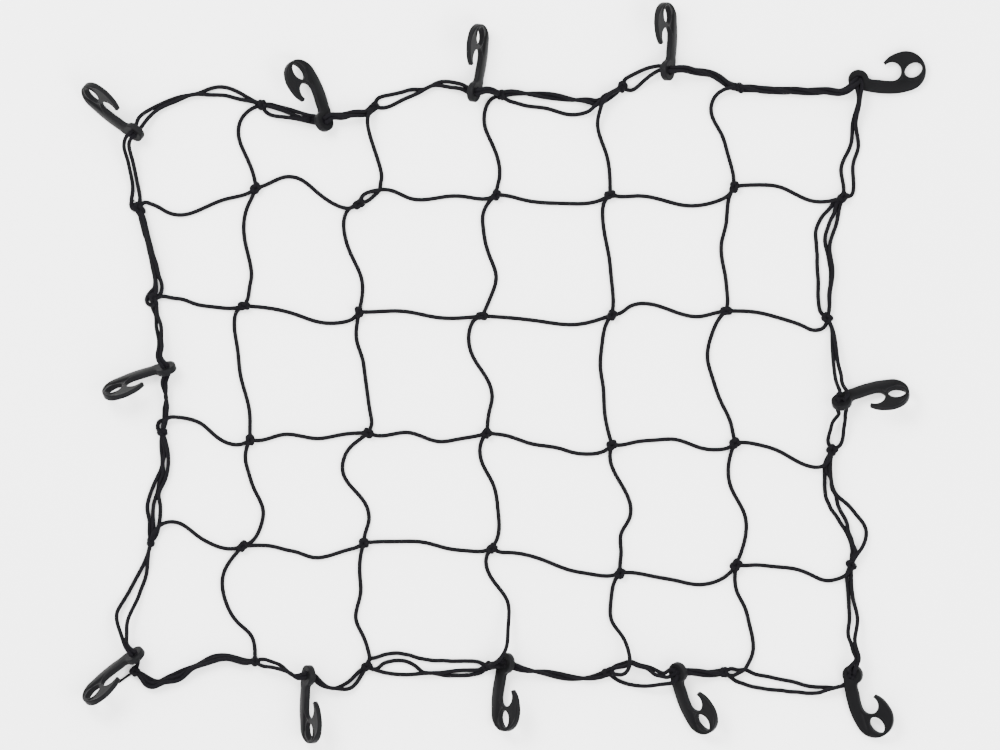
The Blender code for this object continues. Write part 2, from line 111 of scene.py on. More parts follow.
STACK_ROUNDING = 3                  # rings on either side that round off its climb
LAID_REACH = 0.9                    # share of their full width that laid cords take up
CUT_END_SHARE = 0.6                 # thickness of the cut end, as a share of the cord's

# name: right, down, length and width of the knot, direction of its length
KNOTS = {
    "T1": (262, 105, 10.5, 8.5, 90), "T2": (374, 107, 11.0, 9.0, 40), "T3": (501, 95, 10.5, 8.0, 90),
    "T4": (622, 87, 11.0, 9.5, 60), "T5": (740, 88, 10.0, 9.5, 150), "L1": (139, 209, 14.0, 10.0, 130),
    "L2": (154, 300, 15.0, 8.5, 100), "L3": (162.5, 432, 10.5, 7.5, 0), "L4": (151, 542, 9.5, 8.0, 90),
    "BL": (135, 671, 10.0, 9.5, 45), "R1": (843, 197, 11.5, 9.5, 45), "R2": (827, 318, 11.0, 10.0, 140),
    "R3": (832, 450, 10.5, 10.5, 45), "R4": (851, 565, 11.5, 9.5, 115), "B1": (255, 661, 9.5, 9.5, 45),
    "B2": (367, 666, 11.0, 9.0, 30), "B3": (487, 666, 11.5, 8.5, 35), "B4": (608, 672, 12.0, 9.5, 15),
    "B5": (724, 672, 10.5, 8.5, 90),
    "K11": (256, 188, 11.0, 10.0, 45), "K12": (359, 204, 12.0, 9.0, 30), "K13": (496, 195, 11.0, 9.0, 65),
    "K14": (610, 195, 12.0, 8.5, 15), "K15": (734, 187, 11.5, 9.0, 80), "K21": (244, 306, 12.0, 8.5, 0),
    "K22": (359, 312, 11.5, 8.0, 100), "K23": (482, 316, 11.5, 8.5, 0), "K24": (612, 315, 10.5, 9.5, 60),
    "K25": (726, 311, 12.0, 8.5, 0), "K31": (250, 440, 11.0, 9.0, 90), "K32": (368, 433, 11.0, 9.0, 150),
    "K33": (487, 433, 10.0, 10.0, 45), "K34": (612, 445, 11.0, 9.5, 25), "K35": (735, 443, 11.0, 10.0, 30),
    "K41": (243, 546, 11.5, 9.0, 45), "K42": (364, 543, 10.5, 9.5, 100), "K43": (492, 548, 11.0, 9.0, 45),
    "K44": (620, 573, 11.0, 10.0, 60), "K45": (736, 565, 12.5, 10.5, 50),
}

# name: right, down (of the eye), heading, pitch, roll. Roll 0 lies flat with the mouth on
# the left of the heading, and 180 with it on the right.
HOOKS = {
    "01": (135.2, 132.4, 141.8, 2.0, 118.5),
    "02": (324.2, 122.0, 111.2, 4.0, 44.5),
    "03": (474.1, 92.3, 81.5, 0.5, 63.8),
    "04": (667.2, 71.0, 87.8, 1.0, 60.5),
    "05": (858.2, 80.0, 0.5, 1.5, 3.0),
    "06": (166.7, 368.8, 198.8, 1.5, 63.8),
    "07": (841.0, 401.7, 15.1, 4.0, 133.5),
    "08": (135.8, 655.0, 218.7, 2.5, 62.8),
    "09": (308.8, 674.7, 268.8, 1.5, 62.0),
    "10": (506.2, 662.5, 263.5, 1.5, 50.5),
    "11": (677.8, 671.8, 291.4, 2.0, 45.0),
    "12": (852.2, 674.3, 287.8, 4.0, 25.0),
}

# from, to, lane, places that the cord passes (right, down). Ends are knots, or the upper
# (+) or lower (-) side of a hook's eye. The lane is the cord's place among those in the eye.
INNER_CORDS = (
    ("T1", "K11", 0, ((253.5, 108), (241, 120), (238.5, 134.5), (246.5, 157), (254.5, 179))),
    ("K11", "K21", 0, ((252.5, 196.5), (247.5, 207), (244.5, 238), (251, 268.5), (251.5, 276), (249.5, 288),
     (248, 298))),
    ("K21", "K31", 0, ((237, 311.5), (234.5, 320), (237.5, 348.5), (240.5, 375), (249.5, 411.5),
     (250, 431))),
    ("K31", "K41", 0, ((246.5, 448.5), (246, 463), (248.5, 472), (253.5, 487.5), (263, 509.5), (260.5, 527),
     (251, 542))),
    ("K41", "B1", 0, ((237, 552.5), (223.5, 574), (227.5, 606), (238, 622.5), (251.5, 636), (255, 652))),
    ("T2", "K12", 0, ((369, 114.5), (369.5, 133.5), (380.5, 169.5), (381.5, 178.5), (380.5, 184),
     (379.5, 190), (375.5, 194.5), (367.5, 201))),
    ("K12", "K22", 0, ((351, 207.5), (349.5, 251), (362, 281), (361, 303))),
    ("K22", "K32", 0, ((357.5, 321), (356.5, 339), (362.5, 359), (364.5, 371), (368, 398), (370.5, 414),
     (371.5, 424.5))),
    ("K32", "K42", 0, ((361, 438.5), (348.5, 449.5), (343, 472.5), (366, 505), (368.5, 522.5), (365, 534))),
    ("K42", "B2", 0, ((361.5, 551.5), (360, 577), (360.5, 593.5), (356, 619.5), (362.5, 634.5),
     (368.5, 651.5), (369.5, 657.5))),
    ("T3", "K13", 0, ((492.5, 98.5), (485, 127), (489.5, 138.5), (497, 156.5), (499, 180), (497.5, 186))),
    ("K13", "K23", 0, ((489.5, 201.5), (483, 214.5), (483, 226.5), (486.5, 247), (491.5, 261), (496, 275.5),
     (490, 298.5), (486, 308))),
    ("K23", "K33", 0, ((474, 320.5), (471, 325.5), (472, 354.5), (489, 383), (492, 399), (489.5, 410.5),
     (487.5, 424))),
    ("K33", "K43", 0, ((482, 440.5), (481.5, 461), (493, 484), (498, 510.5), (496.5, 540))),
    ("K43", "B3", 0, ((487, 555.5), (490, 575.5), (507.5, 601.5), (508, 628.5), (505.5, 649), (495, 662))),
    ("T4", "K14", 0, ((614.5, 91.5), (603, 101.5), (600.5, 108.5), (597.5, 123), (606, 153.5), (610, 186))),
    ("K14", "K24", 0, ((604.5, 202), (602.5, 214), (607, 246.5), (609, 257), (611, 276), (613, 306))),
    ("K24", "K34", 0, ((607, 322.5), (602, 344), (600.5, 369.5), (603, 386), (604.5, 411.5),
     (609.5, 436.5))),
    ("K34", "K44", 0, ((610, 454), (630.5, 506.5), (629.5, 518), (621, 534), (621, 552), (620, 564))),
    ("K44", "B4", 0, ((615, 580.5), (611, 599.5), (612, 621.5), (621.5, 635), (629, 654.5), (628.5, 667.5),
     (622.5, 674), (616.5, 674))),
    ("T5", "K15", 0, ((731, 88), (715.5, 96), (711, 111.5), (721.5, 134.5), (727.5, 153.5), (733.5, 178))),
    ("K15", "K25", 0, ((730, 195), (725.5, 226.5), (721.5, 242.5), (721.5, 256), (725.5, 278), (727, 293),
     (727.5, 302))),
    ("K25", "K35", 0, ((720, 317.5), (711.5, 335), (707.5, 359), (711.5, 375), (721, 402), (730.5, 422.5),
     (733, 434))),
    ("K35", "K45", 0, ((731.5, 451.5), (731, 487.5), (744.5, 514.5), (739.5, 556.5))),
    ("K45", "B5", 0, ((735, 574), (736.5, 590.5), (745, 608), (748.5, 621), (752.5, 638.5), (752, 655),
     (747.5, 664.5), (744, 669.5), (739, 672.5), (732, 675.5))),
    ("L1", "K11", 0, ((144.5, 202.5), (151.5, 204), (158.5, 207), (166, 211.5), (179, 215), (211.5, 204.5),
     (228.5, 198.5), (248.5, 193))),
    ("K11", "K12", 0, ((264.5, 185.5), (285.5, 177), (298.5, 178.5), (314.5, 190), (335, 204.5),
     (351, 208))),
    ("K12", "K13", 0, ((362.5, 196), (373.5, 191), (391, 190.5), (410.5, 198.5), (453.5, 196), (473, 198),
     (488, 198.5))),
    ("K13", "K14", 0, ((505, 195.5), (524, 200), (564, 203.5), (602, 199.5))),
    ("K14", "K15", 0, ((619, 196.5), (638.5, 196), (654.5, 198), (685, 205.5), (717.5, 201), (729, 194.5))),
    ("K15", "R1", 0, ((743, 185.5), (754.5, 185), (779.5, 187), (810, 200.5), (834.5, 200))),
    ("L2", "K21", 0, ((162, 296.5), (172.5, 298), (181, 299), (195.5, 304), (214.5, 307), (235.5, 308))),
    ("K21", "K22", 0, ((253, 306.5), (297.5, 315), (314.5, 321), (341.5, 322.5), (353, 318.5))),
    ("K22", "K23", 0, ((368, 312), (405, 311.5), (437.5, 317.5), (473, 317))),
    ("K23", "K24", 0, ((491, 316.5), (541.5, 321.5), (576, 324.5), (603.5, 318))),
    ("K24", "K25", 0, ((620.5, 313), (629, 307), (643.5, 303.5), (689.5, 316), (700, 316.5), (717, 312.5))),
    ("K25", "R2", 0, ((735, 311), (757.5, 312.5), (781, 318.5), (794, 322.5), (805, 327), (812, 330),
     (824.5, 326.5))),
    ("L3", "K31", 0, ((165, 421.5), (169.5, 417.5), (175.5, 417), (187, 418.5), (201, 423.5), (217, 437),
     (242, 444))),
    ("K31", "K32", 0, ((259, 440.5), (283.5, 434.5), (317.5, 438.5), (339.5, 435), (359, 433))),
    ("K32", "K33", 0, ((376.5, 435.5), (408, 432.5), (438.5, 441.5), (459, 439), (478.5, 435.5))),
    ("K33", "K34", 0, ((496, 434), (506, 435.5), (530.5, 443.5), (560, 448.5), (573, 452.5), (587.5, 454),
     (605, 450.5))),
    ("K34", "K35", 0, ((621, 445), (635.5, 442), (656.5, 440), (675.5, 439.5), (701, 448), (720, 449.5),
     (727.5, 448))),
    ("K35", "R3", 0, ((744, 442.5), (757.5, 444.5), (777.5, 450.5), (808.5, 466), (822, 466),
     (829, 458.5))),
    ("L4", "K41", 0, ((154, 533.5), (161.5, 524.5), (177.5, 522.5), (196, 534.5), (213, 544.5),
     (234.5, 548.5))),
    ("K41", "K42", 0, ((252, 545.5), (276, 547), (285, 549.5), (296.5, 552), (314, 557.5), (333, 554.5),
     (349, 549.5), (356, 547.5))),
    ("K42", "K43", 0, ((373, 542), (395.5, 541.5), (425, 542.5), (448, 548.5), (470, 551), (483.5, 551))),
    ("K43", "K44", 0, ((500, 552), (507.5, 552.5), (519.5, 553.5), (546, 561), (569.5, 570), (590.5, 574),
     (611.5, 575.5))),
    ("K44", "K45", 0, ((629, 572.5), (654, 576.5), (676, 580.5), (696.5, 584.5), (730.5, 572))),
    ("K45", "R4", 0, ((745, 565.5), (754, 565), (773.5, 566.5), (797.5, 569.5), (812.5, 575.5),
     (825.5, 580.5), (838.5, 578.5), (847.5, 573))),
)
BORDER_CORDS = (
    ("T1", "01-", 1, ((254, 101), (221, 87), (208, 89.5), (198, 93.5), (182, 96.5), (163.5, 103),
     (145, 113), (138.5, 119.5))),
    ("T1", "01-", -1, ((253.5, 102), (240.5, 99.5), (224.5, 95.5), (209.5, 95), (191.5, 95), (180.5, 99.5),
     (160, 108.5), (145, 123))),
    ("T1", "02-", -1, ((271, 104.5), (276.5, 106), (288, 109), (312, 116))),
    ("T1", "02-", 0, ((271, 107), (284, 111), (302, 118), (312.5, 119.5))),
    ("T1", "02-", 1, ((266.5, 112.5), (277.5, 116.5), (289.5, 118), (302.5, 120.5), (311.5, 122.5))),
    ("T2", "03-", -1, ((377.5, 99), (387, 95.5), (406, 91), (412, 89.5), (422.5, 89.5), (438.5, 82.5),
     (455, 83), (463.5, 85.5))),
    ("T2", "03-", 1, ((383, 108), (402.5, 100), (421.5, 91.5), (432, 86), (450, 87.5), (463, 90))),
    ("T3", "03+", -1, ((492.5, 89.7), (485.5, 88.9))),
    ("T3", "03+", 1, ((492.5, 93.2), (485.5, 92.4))),
    ("T3", "T4", 0, ((508, 100.5), (514, 102.5), (527, 106), (546.5, 108.5), (568, 114.5), (583, 113.5),
     (590, 110.5), (594.5, 106.5), (599, 103), (603.5, 96.5), (608.5, 94), (614, 91))),
    ("T4", "04-", -1, ((625.5, 79), (630.5, 76), (637.5, 72.5), (648, 68.3), (657, 66.4), (660.5, 66.4))),
    ("T4", "04-", 1, ((630, 90.5), (640, 84.5), (650, 76), (657, 71.6), (660.5, 70.4))),
    ("R1", "05+", 1, ((843.5, 188), (841, 168.5), (850.5, 145), (852.5, 124), (855.3, 112),
     (858, 96.5))),
    ("R1", "05+", -1, ((851.5, 195), (853.5, 187.5), (853.5, 162), (858, 148), (855.5, 122.5), (858, 109.5),
     (860.4, 93.5))),
    ("R1", "R2", 0, ((836, 200), (829.5, 208.5), (822.5, 216), (819.5, 221), (816, 229.5),
     (815.5, 235.5), (816, 241.5), (816.5, 249), (817, 255), (817, 262.5), (817.5, 273), (818, 279),
     (818, 289.5), (818, 297), (818.5, 303), (820.5, 312))),
    ("R1", "R2", 0, ((836.5, 203), (834, 213), (830.5, 220), (828, 227), (825.5, 234.5), (825, 243),
     (826.5, 249.5), (828, 255.5), (829.5, 264.5), (830.5, 270.5), (830.5, 278), (830, 285.5), (829, 293),
     (829, 300.5), (829, 309.5))),
    ("R1", "R2", 0, ((840, 205.5), (836.5, 223), (829.5, 247), (832.5, 269.5), (829.5, 296), (829, 309.5))),
    ("R2", "07+", -1.4, ((831, 326), (832, 338), (832.5, 356), (834.2, 375), (837.5, 387), (839, 392))),
    ("R2", "07+", 1.4, ((831, 326), (838.5, 367.5), (840.5, 375), (843.3, 387), (844.7, 392))),
    ("R3", "07-", -1, ((828, 442), (830, 430.5), (834, 419.5), (838.5, 413.5))),
    ("R3", "07-", 1, ((839.5, 445.5), (843.5, 428), (844.7, 420), (845, 414))),
    ("R3", "R4", 0, ((827.5, 457.5), (824.5, 465), (824.5, 472.5), (824.5, 478.5), (824.5, 486), (825, 492),
     (826, 498), (828.5, 503.5), (831, 509), (835.5, 515), (841, 524), (844.5, 529), (848, 535.5),
     (851, 544), (852, 550), (851.5, 556))),
    ("R3", "R4", 0, ((828.5, 458.5), (826.5, 467), (827.5, 472.5), (830.5, 478), (832, 488.5), (835.5, 495),
     (837, 502), (841, 512), (847, 524), (848.5, 532.5), (851, 538), (853, 545.5), (855.5, 551),
     (853.5, 556.5))),
    ("R3", "R4", 0, ((830.5, 459), (830.5, 476.5), (836.5, 495), (846.5, 503.5), (856.5, 515),
     (865.5, 528.5), (862, 547), (855, 557))),
    ("R4", "12+", -1, ((847, 573), (847, 582), (849, 610.5), (849, 621), (848, 636), (850.5, 643),
     (853, 652), (854.8, 660))),
    ("R4", "12+", 1, ((851, 574), (853.5, 601), (857, 617), (856.5, 626), (854.2, 639.5), (857, 652),
     (857.9, 660))),
    ("B5", "12-", 1, ((732, 668.5), (738, 670), (744, 669.5), (753.5, 673.5), (759, 675), (768, 676.5),
     (776.5, 678.5), (784, 680), (790, 681), (796, 682.5), (806, 685.5), (812, 686.5), (821, 687),
     (827, 687), (833, 687.5), (840.5, 686), (845.5, 683))),
    ("B5", "12-", -1, ((731, 677.5), (736, 681), (741.5, 683), (748.5, 685.5), (754.5, 687), (760.5, 688),
     (766, 689), (776.5, 690), (782.5, 690.5), (788.5, 691.5), (797.5, 692), (806.5, 693), (812.5, 693),
     (818.5, 692.5), (827, 689.5), (834, 687.5), (839.5, 686), (848, 685))),
    ("B4", "11+", 1, ((615, 666), (624.5, 662.5), (630, 661), (637, 663.5), (649, 666.5), (666, 671.5))),
    ("B4", "11+", 0, ((615.5, 667.5), (625.5, 665.5), (631, 663), (636.5, 665), (647, 668), (654, 673.5),
     (661, 675.5), (667, 676.5))),
    ("B4", "11+", -1, ((614.5, 678), (649.5, 685.5), (664, 683.5), (671.5, 681))),
    ("B2", "B3", 0, ((369.5, 659.5), (376, 657.5), (383, 655), (390.5, 653.5), (398, 653), (404, 654),
     (409.5, 655), (415.5, 657), (421, 658.5), (427, 659.5), (434.5, 660.5), (443.5, 660.5), (449.5, 661),
     (460, 661), (468.5, 661), (479, 662))),
    ("B2", "B3", 0, ((375, 669.5), (383.5, 663.5), (389.5, 661.5), (395, 660.5), (401, 660.5), (407, 661.5),
     (412.5, 664), (417.5, 667.5), (423, 672), (432, 673), (438, 674), (447, 675.5), (456, 675.5),
     (462, 675.5), (469.5, 675), (475.5, 674), (481, 672.5))),
    ("B2", "B3", 0, ((375, 669.5), (401.5, 674.5), (409, 674.5), (425.5, 673), (440.5, 672.5),
     (458, 670.5), (473, 670), (479, 669.5))),
    ("B2", "09-", 1, ((359.5, 671), (350, 680.5), (341, 686), (335.5, 688), (319.5, 679.5))),
    ("B2", "09-", -1, ((362.5, 673.5), (349, 688.5), (335.5, 688), (328.5, 687), (317.5, 682))),
    ("B1", "09+", 1, ((264, 659), (271, 661), (279.5, 664), (287.5, 670.5), (297, 675))),
    ("B1", "09+", -1, ((262.5, 665.5), (270, 666.5), (285, 670), (293, 674), (298, 677.5))),
    ("BL", "B1", 0, ((143.5, 674.5), (159.5, 681), (166.5, 677.5), (173, 674.5), (184, 669.5), (196.5, 665),
     (211, 657), (231.5, 656), (246, 660))),
    ("BL", "B1", 0, ((142.5, 676), (149, 682), (156, 683.5), (166, 680), (180, 675), (192, 668),
     (198.5, 665), (211, 659.5), (228.5, 657), (246, 661.5))),
    ("BL", "B1", 0, ((141, 677.5), (146.5, 685), (152, 687), (164.5, 682.5), (173, 681.5), (181.5, 678.5),
     (193, 668.5), (205.5, 664), (229, 659), (246.5, 663))),
    ("BL", "08-", 0, ()),
    ("L4", "08+", -1, ((149, 550.5), (134.5, 581.5), (128, 593.5), (121, 605), (117.5, 612), (121, 632),
     (124.5, 642), (127, 647.5))),
    ("L4", "08+", 1, ((149, 550.5), (146, 576), (141, 590), (138.5, 597), (128, 621.5), (127.5, 635),
     (129, 645.5))),
    ("L3", "L4", 0, ((161.5, 439), (162, 455.5), (162, 466), (157.5, 477), (150.5, 493.5), (147.5, 511),
     (149.5, 521), (149.5, 533))),
    ("L3", "L4", 0, ((163, 439), (165, 454), (163, 463), (163.5, 473), (160, 481.5), (158, 490.5),
     (154, 503), (153, 533))),
    ("L3", "L4", 0, ((165, 438.5), (167, 474), (164, 482.5), (159, 495), (160, 502.5), (160.5, 510),
     (158.5, 528), (156.5, 535))),
    ("L3", "06-", -1, ((163.8, 422), (164.3, 415), (164.5, 408.5), (166.5, 398), (163, 380.5))),
    ("L3", "06-", 1, ((166, 422), (167, 412), (167.5, 404.5), (166, 397), (166.5, 388.5), (166.5, 381))),
    ("L2", "06+", -1, ((153, 308.5), (155.5, 314), (156.5, 324.5), (159, 338), (159, 348.5), (159, 360))),
    ("L2", "06+", 1, ((157, 308), (157.5, 314), (160.5, 322.5), (162, 332.5), (162, 338.5), (162.5, 349),
     (162, 358))),
    ("L1", "L2", 0, ((140.5, 218), (143, 228), (144.5, 234), (146.5, 239.5), (148, 245.5), (149.5, 252.5),
     (151, 258.5), (152, 264.5), (153.5, 271), (155, 279), (154.5, 290))),
    ("L1", "L2", 0, ((142, 217.5), (144, 226), (147, 234.5), (148, 240.5), (149.5, 246), (151, 252),
     (153, 260.5), (155, 270), (156, 280), (156.5, 289))),
    ("L1", "L2", 0, ((143.5, 216), (146.5, 226.5), (148.5, 235), (150, 241), (151.5, 246.5), (154, 256.5),
     (157, 265), (158.5, 272.5), (160, 278), (162, 284), (160.5, 294))),
    ("L1", "01+", 1, ((132, 204), (132.5, 193.5), (131, 174), (127.5, 158), (125, 149), (125.5, 141),
     (127.8, 136.5))),
    ("L1", "01+", -1, ((140, 200), (137.5, 182.5), (133, 160.5), (130.2, 150), (129.9, 143.5),
     (132, 139))),
)
# In LAID_CORDS the third column is how many cords are laid together.
LAID_CORDS = (
    ("T2", "02+", 3, ((367, 112.5), (361, 113.5), (353.5, 114.5), (340, 116.5), (332.5, 116))),
    ("T3", "T4", 2, ((510, 93), (523.5, 93.5), (540, 95), (559.5, 97.5), (575.5, 100), (589, 101),
     (596.5, 102.5), (606, 98.5), (615, 93))),
    ("T5", "04+", 3, ((731.5, 86), (725, 82), (714.5, 76), (695, 71.5), (681, 69.8))),
    ("T5", "05+", 3, ((749, 88.5), (761, 90), (773, 90), (783.5, 91), (798, 91), (819, 91.5), (828, 91.5),
     (840, 92), (850, 88))),
    ("B5", "11-", 3, ((715, 673), (701.5, 672.5), (690, 673))),
    ("B4", "10-", 2, ((599.5, 675.5), (559.5, 675.5), (548, 673), (517, 667))),
    ("B3", "10+", 3, ((496, 664.5),)),
)
# Slack that stands out of a knot as a small loop: right, down of each point
SLACK_LOOPS = (
    ((154.5, 288), (149.5, 293.5), (147, 298), (147, 302), (150, 305), (155, 304.5)),
    ((163.5, 420.5), (160, 421), (157.8, 425.5), (158.2, 429.5), (160, 431.5)),
    ((133, 199), (131, 205), (133, 209), (139, 210)),
)
CUT_END = ("BL", ((126, 677), (118.5, 682.5)))  # the border's free end: knot, places

# Hook, flat in its own frame in millimetres: X from the eye to the head, Y to the mouth
EYE_RADIUS = 10.3
EYE_HOLE_RADIUS = 4.55
HEAD_CENTRE = (47.6, 8.4)
HEAD_RADIUS = 20.1
MOUTH_CENTRE = (33.7, 8.0)
MOUTH_RADIUS = 9.2
WINDOW_CENTRE = (55.2, 9.3)
WINDOW_HALF = (9.1, 6.7)
WINDOW_TURN = math.radians(28)
SHANK_BACK = ((11.0, -12.3), (22.0, -13.9), (34.0, -14.3), (44.0, -13.3))
ARM_BACK = ((35.0, 25.2), (29.3, 21.6))
TIP = ((25.0, 17.0), (26.9, 14.2))
SHANK_FRONT = ((26.0, -0.7), (18.0, 0.3), (12.0, 1.0))
SHANK_MIDDLE = -6.0                 # Y of the shank's ridge
SHANK_HALF = 6.6
SHANK_CROWN = 0.8                   # how far the shank's sides fall below its ridge
SHANK_START = (8, 14)               # X between which the crown begins
SHANK_END = (50, 62)                # and between which it ends
WEB_EDGE = -3.4                     # Y where the thinner web and head begin, under the mouth
WEB_RISE = 3.6                      # how much higher it begins at its first end
WEB_START = 20.0                    # X of that end
WEB_LENGTHS = (5, 16)               # over which it gets its depth, and falls to WEB_EDGE
WEB_DROP = 0.8                      # how far they lie below the shank
ARM_LEVEL = (14.0, 17.0)            # Y between which the arm gets its full thickness
ARM_END = (40, 48)                  # and X between which it loses it
BEAD = (1.5, 2.2)                   # raised rim round mouth, window and head: flat, foot
POCKET = ((34.0, -2.2), (58.5, -2.2), (44.7, 7.4))  # recess where shank, mouth and window meet
POCKET_DEPTH = 0.7
EDGE_RADIUS = 0.9
EASE = 0.8                          # width of the step at the edge of the web and the pocket
# Arcs of the outlines: first angle, last angle, steps
EYE_ARC = (12, 280, 40)
HEAD_ARC = (-70, 103, 46)
MOUTH_ARC = (128, -84, 34)
HOLE_ARC = (0, 350, 35)
WINDOW_ARC = (0, 352.5, 47)
# Points of the hook's mesh
OUTLINE_STEP = 1.1
GRID_STEP = 1.0
GRID_GAP = 0.6                      # grid points stay this share of a step off the rows
RIM_STEPS = (0.12, 0.4, 0.85, 1.4, 2.1)     # rows of points inside the outline
RIM_SLIP = 0.05                     # how much nearer another outline may be to a row's point


# Settings -------------------------------------------------------------------------------

class CordSettings(bpy.types.PropertyGroup):
    width: FloatProperty(
        name="Cord Width", description="Thickness of the elastic cord",
        default=0.0042, min=0.001, max=0.01, subtype="DISTANCE", unit="LENGTH")
    sides: IntProperty(
        name="Sides", description="Sides of a cord's tube", default=12, min=6, max=24)
    lay: FloatProperty(
        name="Lay", description="Length of one turn of cords that are laid together",
        default=0.1, min=0.02, max=0.3, subtype="DISTANCE", unit="LENGTH")
    pick: FloatProperty(
        name="Pick", description="Length of one crossing of the braided cover",
        default=0.0019, min=0.0005, max=0.01, subtype="DISTANCE", unit="LENGTH")
    carriers: IntProperty(
        name="Carriers", description="Yarns round the cord in each direction of the braid",
        default=8, min=4, max=24)
    colour: FloatVectorProperty(
        name="Cover Colour", description="Colour of the braided cover",
        default=(0.0032, 0.003, 0.0037), size=3, min=0.0, max=1.0, subtype="COLOR")


class HookSettings(bpy.types.PropertyGroup):
    thickness: FloatProperty(
        name="Thickness", description="Thickness of a hook at the ridge of its shank",
        default=0.0065, min=0.002, max=0.02, subtype="DISTANCE", unit="LENGTH")
    colour: FloatVectorProperty(
        name="Plastic Colour", description="Colour of the moulded hooks",
        default=(0.0034, 0.0034, 0.0037), size=3, min=0.0, max=1.0, subtype="COLOR")
    roughness: FloatProperty(
        name="Roughness", description="Roughness of the moulded plastic",
        default=0.33, min=0.0, max=1.0, subtype="FACTOR")


class StageSettings(bpy.types.PropertyGroup):
    colour: FloatVectorProperty(
        name="Floor Colour", description="Colour of the plain floor",
        default=(0.9, 0.9, 0.9), size=3, min=0.0, max=1.0, subtype="COLOR")
    height: FloatProperty(
        name="Camera Height", description="Height of the camera over the floor",
        default=8.0, min=1.0, max=20.0, subtype="DISTANCE", unit="LENGTH")
    field: FloatProperty(
        name="Field Width", description="Width of floor that the camera shows",
        default=1.0, min=0.2, max=4.0, subtype="DISTANCE", unit="LENGTH")


# Node trees -----------------------------------------------------------------------------

class Wire:
    """An output socket that Python's arithmetic works on, by adding Math nodes."""

    def __init__(self, maker, socket):
        self.maker = maker
        self.socket = socket

    def other(self, name):
        """Another output of the same node."""
        return Wire(self.maker, self.socket.node.outputs[name])

    def maths(self, operation, *values):
        return self.maker.add("ShaderNodeMath", dict(enumerate((self, *values))), operation=operation)

    def __add__(self, value):
        return self.maths("ADD", value)

    __radd__ = __add__

    def __sub__(self, value):
        return self.maths("SUBTRACT", value)

    def __rsub__(self, value):
        return self.maker.add("ShaderNodeMath", {0: value, 1: self}, operation="SUBTRACT")

    def __mul__(self, value):
        return self.maths("MULTIPLY", value)

    __rmul__ = __mul__

    def __truediv__(self, value):
        return self.maths("DIVIDE", value)

    def __rtruediv__(self, value):
        return self.maker.add("ShaderNodeMath", {0: value, 1: self}, operation="DIVIDE")


class NodeMaker:
    """Adds nodes to a tree: settings are set first, then the sockets' values or links."""

    def __init__(self, tree):
        self.tree = tree

    def give(self, node, sockets):
        """Set or link a node's sockets."""
        for name, value in sockets.items():
            if isinstance(value, Wire):
                self.tree.links.new(value.socket, node.inputs[name])
            else:
                node.inputs[name].default_value = value

    def add(self, kind, sockets=None, output=0, **settings):
        node = self.tree.nodes.new(kind)
        for name, value in settings.items():
            setattr(node, name, value)
        self.give(node, sockets or {})
        return Wire(self, node.outputs[output]) if len(node.outputs) else node

    def shades(self, factor, colour, tones):
        """A mix of the darkest and the lightest tone of a colour."""
        dark, light = [(*[value * tone for value in colour], 1.0) for tone in tones]
        sockets = {0: factor, 6: dark, 7: light}
        return self.add("ShaderNodeMix", sockets, output=2, data_type="RGBA")

    def bump(self, height, strength, depth):
        sockets = {"Strength": strength, "Distance": depth, "Height": height}
        return self.add("ShaderNodeBump", sockets)

    def noise(self, scale, detail):
        """Noise that keeps to the piece's own place."""
        place = self.add("ShaderNodeTexCoord", output="Object")
        sockets = {"Vector": place, "Scale": scale, "Detail": detail}
        return self.add("ShaderNodeTexNoise", sockets, output="Fac")

    def vector(self, operation, sockets):
        return self.add("ShaderNodeVectorMath", sockets, operation=operation)

    def store(self, geometry, name, value, kind):
        """Keep a value on a geometry's points, as a named attribute."""
        sockets = {"Geometry": geometry, "Name": name, "Value": value}
        return self.add("GeometryNodeStoreNamedAttribute", sockets, data_type=kind, domain="POINT")


def new_material(name):
    material = bpy.data.materials.new(name)
    material.use_nodes = True
    shader = material.node_tree.nodes["Principled BSDF"]
    return material, NodeMaker(material.node_tree), shader


def cord_material(settings):
    """Braided cover: two families of yarns that pass over and under each other, with a painted highlight on
    each yarn's crown.
    """
    material, make, shader = new_material("braided_cover")
    along = make.add("ShaderNodeAttribute", output="Fac", attribute_name="cord_along")
    round_way = make.add("ShaderNodeAttribute", output="Vector", attribute_name="cord_round")
    split = make.add("ShaderNodeSeparateXYZ", {0: round_way}, output="X")
    angle = split.other("Y").maths("ARCTAN2", split)
    turn = angle * settings.carriers
    run = along * (math.pi / settings.pick)
    right = (run + turn).maths("SINE")
    left = (run - turn).maths("SINE")
    right_on_top = (right * left).maths("GREATER_THAN", 0.0)
    yarn = right.maths("ABSOLUTE") * right_on_top
    yarn = yarn + left.maths("ABSOLUTE") * (1 - right_on_top)
    fuzz = make.noise(scale=900.0, detail=3.0)
    wear = make.noise(scale=38.0, detail=2.0)
    yarn_highlight, wear_light, fuzz_light = CORD_HIGHLIGHT_AND_WEAR
    # painted highlight: the yarns' crowns are lighter; wear and fuzz add random tone
    light = yarn * yarn_highlight + wear * wear_light + fuzz * fuzz_light
    make.give(shader, {
        "Base Color": make.shades(light.maths("MINIMUM", 1.0), settings.colour, CORD_TONES),
        "Roughness": CORD_ROUGHNESS - yarn * YARN_SHEEN,
        "Specular IOR Level": 0.03,
        "Normal": make.bump(yarn + fuzz * FUZZ_RELIEF, strength=0.75, depth=0.0003),
    })
    return material


